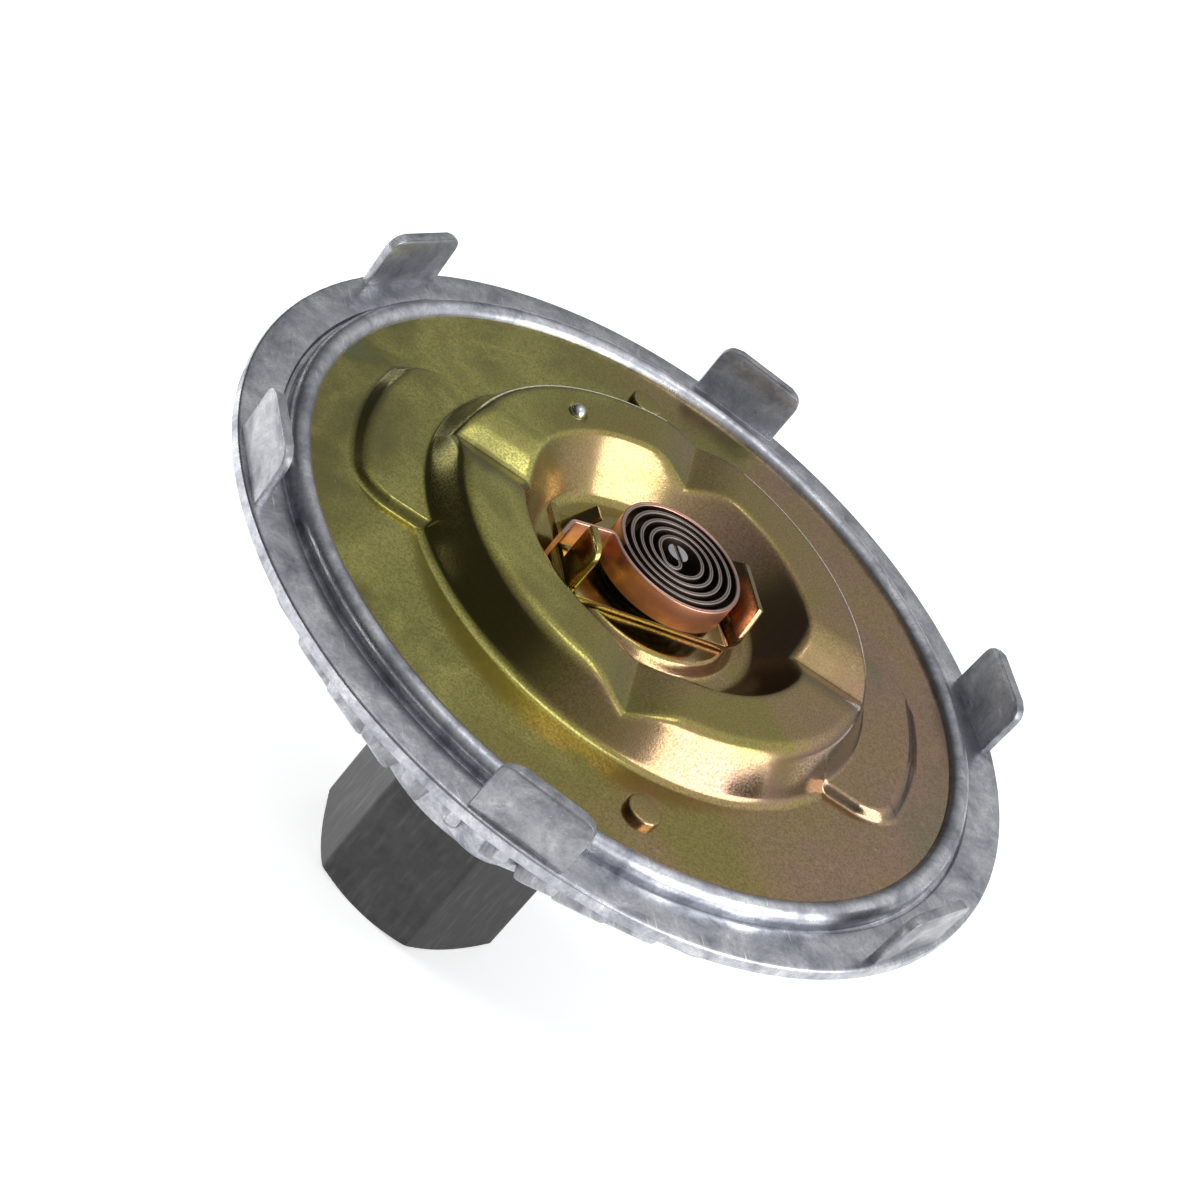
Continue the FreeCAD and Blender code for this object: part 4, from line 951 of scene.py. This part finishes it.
def make_drive_shaft():
    """Threaded nut, collar, bearing seat and nose in one closed mesh."""
    angles = hexagon_columns()
    count = len(angles)
    away = (angles - HEX_TURN + 30) % 60 - 30
    flat = 0.5 * HEX_ACROSS / np.cos(np.radians(30 - np.abs(away)))
    flat = soft_min(flat, HEX_CORNER_RAD - 0.12, 0.25)
    rows = []

    def ring(radius, height):
        rows.append(polar(np.broadcast_to(radius, count), angles, height))

    ring(AXIS_RAD, THREAD_DEPTH + 3.5)
    ring(THREAD_MINOR_RAD - 1.2, THREAD_DEPTH)
    ring(THREAD_MINOR_RAD, THREAD_DEPTH - 0.8)
    steps = 7
    lowest = 1.2
    highest = THREAD_DEPTH - 2.5
    depth = THREAD_MAJOR_RAD - THREAD_MINOR_RAD
    for height in np.arange(highest, lowest, -THREAD_PITCH / steps):
        phase = (height / THREAD_PITCH + angles / 360) % 1
        crest = np.clip(1.35 * (1 - np.abs(2 * phase - 1)) - 0.15, 0, 1)
        fade = ramp(highest - height, 0, THREAD_PITCH)
        ring(THREAD_MINOR_RAD + depth * crest * fade, height)
    ring(THREAD_MAJOR_RAD - 0.2, 1.1)
    ring(THREAD_MAJOR_RAD + 0.6, 0.15)
    ring(THREAD_MAJOR_RAD + 0.8, 0.0)
    for radius in (14.0, 16.0, HEX_FACE_RAD - 0.15):
        ring(radius, 0.0)
    heights = [0.05, 0.15, 0.3, 0.5, 0.75, 1.0, 1.3, 1.6, 1.9, 2.3, 2.8, 3.5, 5.0]
    heights += [*np.linspace(7, HEX_LENGTH - 7, 10)]
    heights += [HEX_LENGTH - height for height in heights[12::-1]]
    for height in heights:
        near = min(height, HEX_LENGTH - height)
        cone = HEX_FACE_RAD + near / HEX_CHAMFER_SLOPE
        ring(soft_min(flat, cone, 0.3), height)
    ring(HEX_FACE_RAD - 0.15, HEX_LENGTH)
    ring(COLLAR_RAD + 0.5, HEX_LENGTH)
    ring(COLLAR_RAD, HEX_LENGTH + 0.5)
    ring(COLLAR_RAD, BEARING_REAR - 0.4)
    ring(COLLAR_RAD - 0.4, BEARING_REAR)
    ring(BORE_RAD, BEARING_REAR)
    ring(BORE_RAD, INSERT_REAR)
    ring(NOSE_RAD, INSERT_REAR)
    ring(NOSE_RAD, SHAFT_TOP - 1.8)
    ring(NOSE_RAD - 0.6, SHAFT_TOP - 1.8)
    ring(NOSE_RAD - 0.6, SHAFT_TOP - NOSE_END)
    ring(NOSE_RAD, SHAFT_TOP - NOSE_END)
    ring(NOSE_RAD - 0.5 * NOSE_END, SHAFT_TOP)
    ring(AXIS_RAD, SHAFT_TOP)
    piece = new_piece("drive_shaft_finished", np.concatenate(rows), capped_faces(len(rows), count),
                      "shaft", DARK_STEEL)
    faced_out(piece)
    sharpen(piece, 28)
    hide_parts("drive_shaft")


# Coil and bracket

COIL_STRIP = 0.85
COIL_TURN = 5.0
COIL_RAD = 13.2
COIL_INNER_RAD = 3.4
COIL_HALF_TURNS = 10
COIL_SLOT_REACH = 2.0
COIL_TAIL_REACH = 21.0
COIL_TAIL_HOOK = 5.0
COIL_TAIL_TURN = 49.0
COIL_BEND_RAD = 1.2
COIL_EDGE_SOFT = 0.2
COIL_EDGE_CUT = 0.06
COIL_GROOVE = 0.07
COIL_EDGE_TILT = 0.85
FACE, EDGE, PAINTED_SHADE_INSIDE = range(3)
BRACKET_SHEET = 1.2
BRACKET_HALF_WIDTH = 10.3
BRACKET_FRONT = 13.2
BRACKET_FRONT_LEAN = 2.4
BRACKET_FRONT_HEIGHT = 7.6
BRACKET_BACK = 19.0
BRACKET_BACK_HEIGHT = 10.0
FORK_LEFT = 2.0
FORK_RIGHT = 3.0
FORK_DEPTH = 8.4
PRONG_CUT = 5.0
PRONG_CORNER = 2.6
BRACKET_BEND_RAD = 1.5
BRACKET_TAPER_HEIGHT = 5.5
BRACKET_TAPER_LEFT = 1.15
BRACKET_TAPER_RIGHT = 0.55
CLIP_HEIGHT = 6.1
CLIP_LEAN = 4.2


class Turtle:
    """A line laid out move by move, seen from above."""

    def __init__(self, x, y, heading=0.0):
        self.spot = np.array([x, y])
        self.heading = heading
        self.line = [self.spot.copy()]

    def way(self, turn=0.0):
        angle = math.radians(self.heading + turn)
        return np.array([math.cos(angle), math.sin(angle)])

    def forward(self, length, step=1.0):
        pieces = max(1, round(length / step))
        for _ in range(pieces):
            self.spot = self.spot + self.way() * length / pieces
            self.line.append(self.spot.copy())

    def curve(self, radius, angle, step=5.0):
        """An arc. A positive angle turns left."""
        pieces = max(2, round(abs(angle) / step))
        side = 90 if angle > 0 else -90
        middle = self.spot + self.way(side) * radius
        for _ in range(pieces):
            self.heading += angle / pieces
            self.spot = middle - self.way(side) * radius
            self.line.append(self.spot.copy())


def make_coil():
    """The spiral bimetal strip, from the slot in the valve's shaft to the hook behind the fork."""
    outer = COIL_RAD - 0.5 * COIL_STRIP
    growth = (outer - COIL_INNER_RAD) / COIL_HALF_TURNS
    pen = Turtle(-COIL_SLOT_REACH, 0.0)
    pen.forward(2 * COIL_SLOT_REACH)
    pen.curve(0.5 * COIL_INNER_RAD, -180, step=15)
    pen.forward(COIL_SLOT_REACH)
    for number in range(1, COIL_HALF_TURNS + 1):
        pen.curve(COIL_INNER_RAD + number * growth, -180)
    pen.curve(COIL_BEND_RAD, 90, step=15)
    pen.forward(COIL_TAIL_REACH - outer - COIL_BEND_RAD)
    pen.curve(COIL_BEND_RAD, COIL_TAIL_TURN, step=15)
    pen.forward(COIL_TAIL_HOOK)
    line = np.array(pen.line)
    turn = math.radians(COIL_TURN)
    line = np.stack([line[:, 0] * math.cos(turn) - line[:, 1] * math.sin(turn),
                     line[:, 0] * math.sin(turn) + line[:, 1] * math.cos(turn)], -1)
    ahead = np.gradient(line, axis=0)
    ahead = ahead / np.linalg.norm(ahead, axis=1, keepdims=True)
    out = np.stack([-ahead[:, 1], ahead[:, 0]], -1)
    half = 0.5 * COIL_STRIP
    soft = COIL_EDGE_SOFT
    cut = COIL_EDGE_CUT
    profile = [(-half, COIL_REAR + soft), (-half, COIL_TOP - soft), (-half + cut, COIL_TOP - cut),
               (-half + soft, COIL_TOP), (-COIL_GROOVE, COIL_TOP), (0.0, COIL_TOP - 0.05),
               (COIL_GROOVE, COIL_TOP), (half - soft, COIL_TOP), (half - cut, COIL_TOP - cut),
               (half, COIL_TOP - soft), (half, COIL_REAR + soft), (half - cut, COIL_REAR + cut),
               (half - soft, COIL_REAR), (-half + soft, COIL_REAR), (-half + cut, COIL_REAR + cut)]
    points = []
    for spot, side in zip(line, out):
        for across, height in profile:
            points.append((*(spot + side * across), height))
    columns = len(profile)
    piece = new_piece("bimetal_coil_strip", points, capped_faces(len(line), columns), None,
                      [COIL_FACE, COIL_EDGE, COIL_INSIDE_PAINTED_SHADE])
    faced_out(piece)
    sharpen(piece, 50)
    length = run_of(line)
    free = length[-1] - COIL_TAIL_HOOK - (COIL_TAIL_REACH - outer)
    last_turn = free - 2 * math.pi * outer
    # Painted shade: every face except the edges, the tail and the outer turn's outside gets the
    # near-black finish, for the shade between the turns.
    for face in piece.data.polygons:
        here = length[face.vertices[0] // columns]
        outside = here > last_turn and (here > free or face.normal.dot(face.center) > 0)
        side = FACE if outside else PAINTED_SHADE_INSIDE
        face.material_index = EDGE if abs(face.normal.z) > COIL_EDGE_TILT else side
    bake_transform(piece)
    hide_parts("bimetal_coil")


def bracket_strip(name, stations):
    """One of the strips that make up the bracket."""
    piece = strip(f"coil_bracket_{name}", stations, BRACKET_SHEET, ZINC)
    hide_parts("coil_bracket")


def make_bracket():
    """The strap with its leaning front ear, and the back ear's wide prong and bent clip."""
    low = STRAP_REAR + 0.5 * BRACKET_SHEET
    strap_top = STRAP_REAR + BRACKET_SHEET
    front = BRACKET_FRONT + 0.5 * BRACKET_SHEET
    back = -BRACKET_BACK - 0.5 * BRACKET_SHEET
    front_top = strap_top + BRACKET_FRONT_HEIGHT
    back_top = strap_top + BRACKET_BACK_HEIGHT
    root = back_top - FORK_DEPTH
    corners = [(back, root), (back, low), (front, low), (front + BRACKET_FRONT_LEAN, front_top)]
    line = refined(rounded(corners, [0, BRACKET_BEND_RAD, BRACKET_BEND_RAD, 0], step=0.3), 0.9)
    side = (1, 0, 0)
    stations = []
    for spot, normal, across in path_frames([(0, y, z) for y, z in line], side):
        right = BRACKET_HALF_WIDTH
        left = -BRACKET_HALF_WIDTH
        above = spot[2] - (front_top - BRACKET_TAPER_HEIGHT)
        if spot[1] > 0 and above > 0:
            left += above * BRACKET_TAPER_LEFT
            right -= above * BRACKET_TAPER_RIGHT
        stations.append((spot, normal, across, left, right))
    bracket_strip("strap", stations)
    corner = PRONG_CORNER
    heights = [*np.linspace(root - 0.4, back_top - corner, 8),
               *np.linspace(back_top - corner, back_top, 8)[1:]]
    stations = []
    for height in heights:
        rise = max(0.0, height - (back_top - corner)) / corner
        inset = 0.97 * corner * (1 - math.sqrt(max(0.0, 1 - rise ** 2)))
        stations.append(((0, back, height), (0, 1, 0), side, FORK_RIGHT + 0.25 * inset,
                         BRACKET_HALF_WIDTH - inset))
    bracket_strip("prong", stations)
    line = [(0, back, root - 0.4), (0, back, root), (0, back + CLIP_LEAN, root + CLIP_HEIGHT)]
    bracket_strip("clip", [(spot, normal, across, -PRONG_CUT, -FORK_LEFT) for spot, normal, across
                           in path_frames(refined(np.array(line, float), 0.8), side)])


# Stage, lights and camera

STAGE_REACH = 3.0
CAMERA_AZIMUTH = 53.4265
CAMERA_ELEVATION = 31.8846
CAMERA_ROLL = 40.3084
CAMERA_DISTANCE = 553.67
CAMERA_AIM = (-2.954, -3.982, 72.624)
CAMERA_LENS = 95.79
FLOOR_LIFT = 0.6
STUDIO_WAY = (0.2, 0.5, 0.84)
STUDIO_STOPS = ((0.0, 0.05), (0.13, 0.21), (0.56, 0.5), (0.85, 1.0))
STUDIO_TINT = (0.98, 0.99, 1.0)
LAMP_DISTANCE = 0.8


def make_camera():
    """The camera, placed and turned as in the photo."""
    azimuth = math.radians(CAMERA_AZIMUTH)
    elevation = math.radians(CAMERA_ELEVATION)
    back = Vector((math.sin(azimuth) * math.cos(elevation),
                   -math.cos(azimuth) * math.cos(elevation), math.sin(elevation)))
    data = bpy.data.cameras.new("camera")
    data.lens = CAMERA_LENS
    data.clip_end = 20
    camera = bpy.data.objects.new("camera", data)
    bpy.context.scene.collection.objects.link(camera)
    camera.location = (Vector(CAMERA_AIM) + back * CAMERA_DISTANCE) * MM
    camera.rotation_mode = "QUATERNION"
    level = (-back).to_track_quat("-Z", "Y")
    camera.rotation_quaternion = level @ Quaternion((0, 0, 1), math.radians(CAMERA_ROLL))
    bpy.context.scene.camera = camera


def make_stage():
    """A wide white floor under the hexagon, lifted only as the camera and reflections see it."""
    mesh = bpy.data.meshes.new("floor")
    reach = STAGE_REACH
    mesh.from_pydata([(-reach, -reach, 0), (reach, -reach, 0), (reach, reach, 0),
                      (-reach, reach, 0)], [], [(0, 1, 2, 3)])
    floor = bpy.data.objects.new("floor", mesh)
    bpy.context.scene.collection.objects.link(floor)
    it = Finish("floor_white", Roughness=0.9)
    it.colour((0.9, 0.9, 0.9, 1))
    rays = it.add("ShaderNodeLightPath")
    seen = it.math("MAXIMUM", rays.outputs["Is Camera Ray"], rays.outputs["Is Glossy Ray"])
    seen = it.math("MAXIMUM", seen, rays.outputs["Is Transmission Ray"])
    it.plug(it.shader.inputs["Emission Strength"], it.math("MULTIPLY", seen, FLOOR_LIFT))
    it.shader.inputs["Emission Color"].default_value = (1, 1, 1, 1)
    mesh.materials.append(it.material)


def make_world():
    """White for the camera. The surfaces see a soft studio, brightest towards STUDIO_WAY."""
    world = bpy.data.worlds.new("studio")
    bpy.context.scene.world = world
    world.use_nodes = True
    nodes = world.node_tree.nodes
    links = world.node_tree.links
    background = nodes["Background"]
    rays = nodes.new("ShaderNodeLightPath")
    seen = nodes.new("ShaderNodeMath")
    seen.operation = "MAXIMUM"
    links.new(rays.outputs["Is Camera Ray"], seen.inputs[0])
    links.new(rays.outputs["Is Transmission Ray"], seen.inputs[1])
    way = nodes.new("ShaderNodeTexCoord")
    lean = nodes.new("ShaderNodeVectorMath")
    lean.operation = "DOT_PRODUCT"
    links.new(way.outputs["Generated"], lean.inputs[0])
    lean.inputs[1].default_value = STUDIO_WAY
    sky = nodes.new("ShaderNodeValToRGB")
    links.new(lean.outputs["Value"], sky.inputs[0])
    stops = sky.color_ramp.elements
    while len(stops) < len(STUDIO_STOPS):
        stops.new(0.5)
    for stop, (place, level) in zip(stops, STUDIO_STOPS):
        stop.position = place
        stop.color = (*(level * part for part in STUDIO_TINT), 1)
    mix = nodes.new("ShaderNodeMix")
    mix.data_type = "RGBA"
    links.new(seen.outputs[0], mix.inputs["Factor"])
    links.new(sky.outputs["Color"], mix.inputs[6])
    mix.inputs[7].default_value = (1, 1, 1, 1)
    links.new(mix.outputs[2], background.inputs["Color"])


def lamp(name, way, size, brightness):
    """A soft box that looks at the part from a direction. Its brightness is that of its face."""
    data = bpy.data.lights.new(name, "AREA")
    data.shape = "RECTANGLE"
    data.size, data.size_y = size
    data.energy = brightness * math.pi * size[0] * size[1]
    item = bpy.data.objects.new(name, data)
    bpy.context.scene.collection.objects.link(item)
    back = Vector(way).normalized()
    item.location = Vector((0, 0, FLANGE_FACE * MM)) + back * LAMP_DISTANCE
    item.rotation_euler = (-back).to_track_quat("-Z", "Y").to_euler()
    return item


def make_lights():
    """Three soft boxes. The key shows in reflections alone, and the fill in scattered light."""
    key = lamp("key", (0.742, 0.52, 0.42), (0.75, 0.6), 4.0)
    key.visible_diffuse = False
    lamp("overhead", (0.0, 0.1, 1.0), (0.3, 0.3), 2.0)
    fill = lamp("fill", (-0.45, -0.85, 0.1), (0.45, 0.45), 10.0)
    fill.visible_glossy = False


bpy.context.scene.view_settings.view_transform = "Standard"
finish_nodes()
make_cover()
make_buttons()
make_shell()
make_fins()
make_bosses()
make_tabs()
make_drive_shaft()
make_coil()
make_bracket()
make_camera()
make_stage()
make_world()
make_lights()
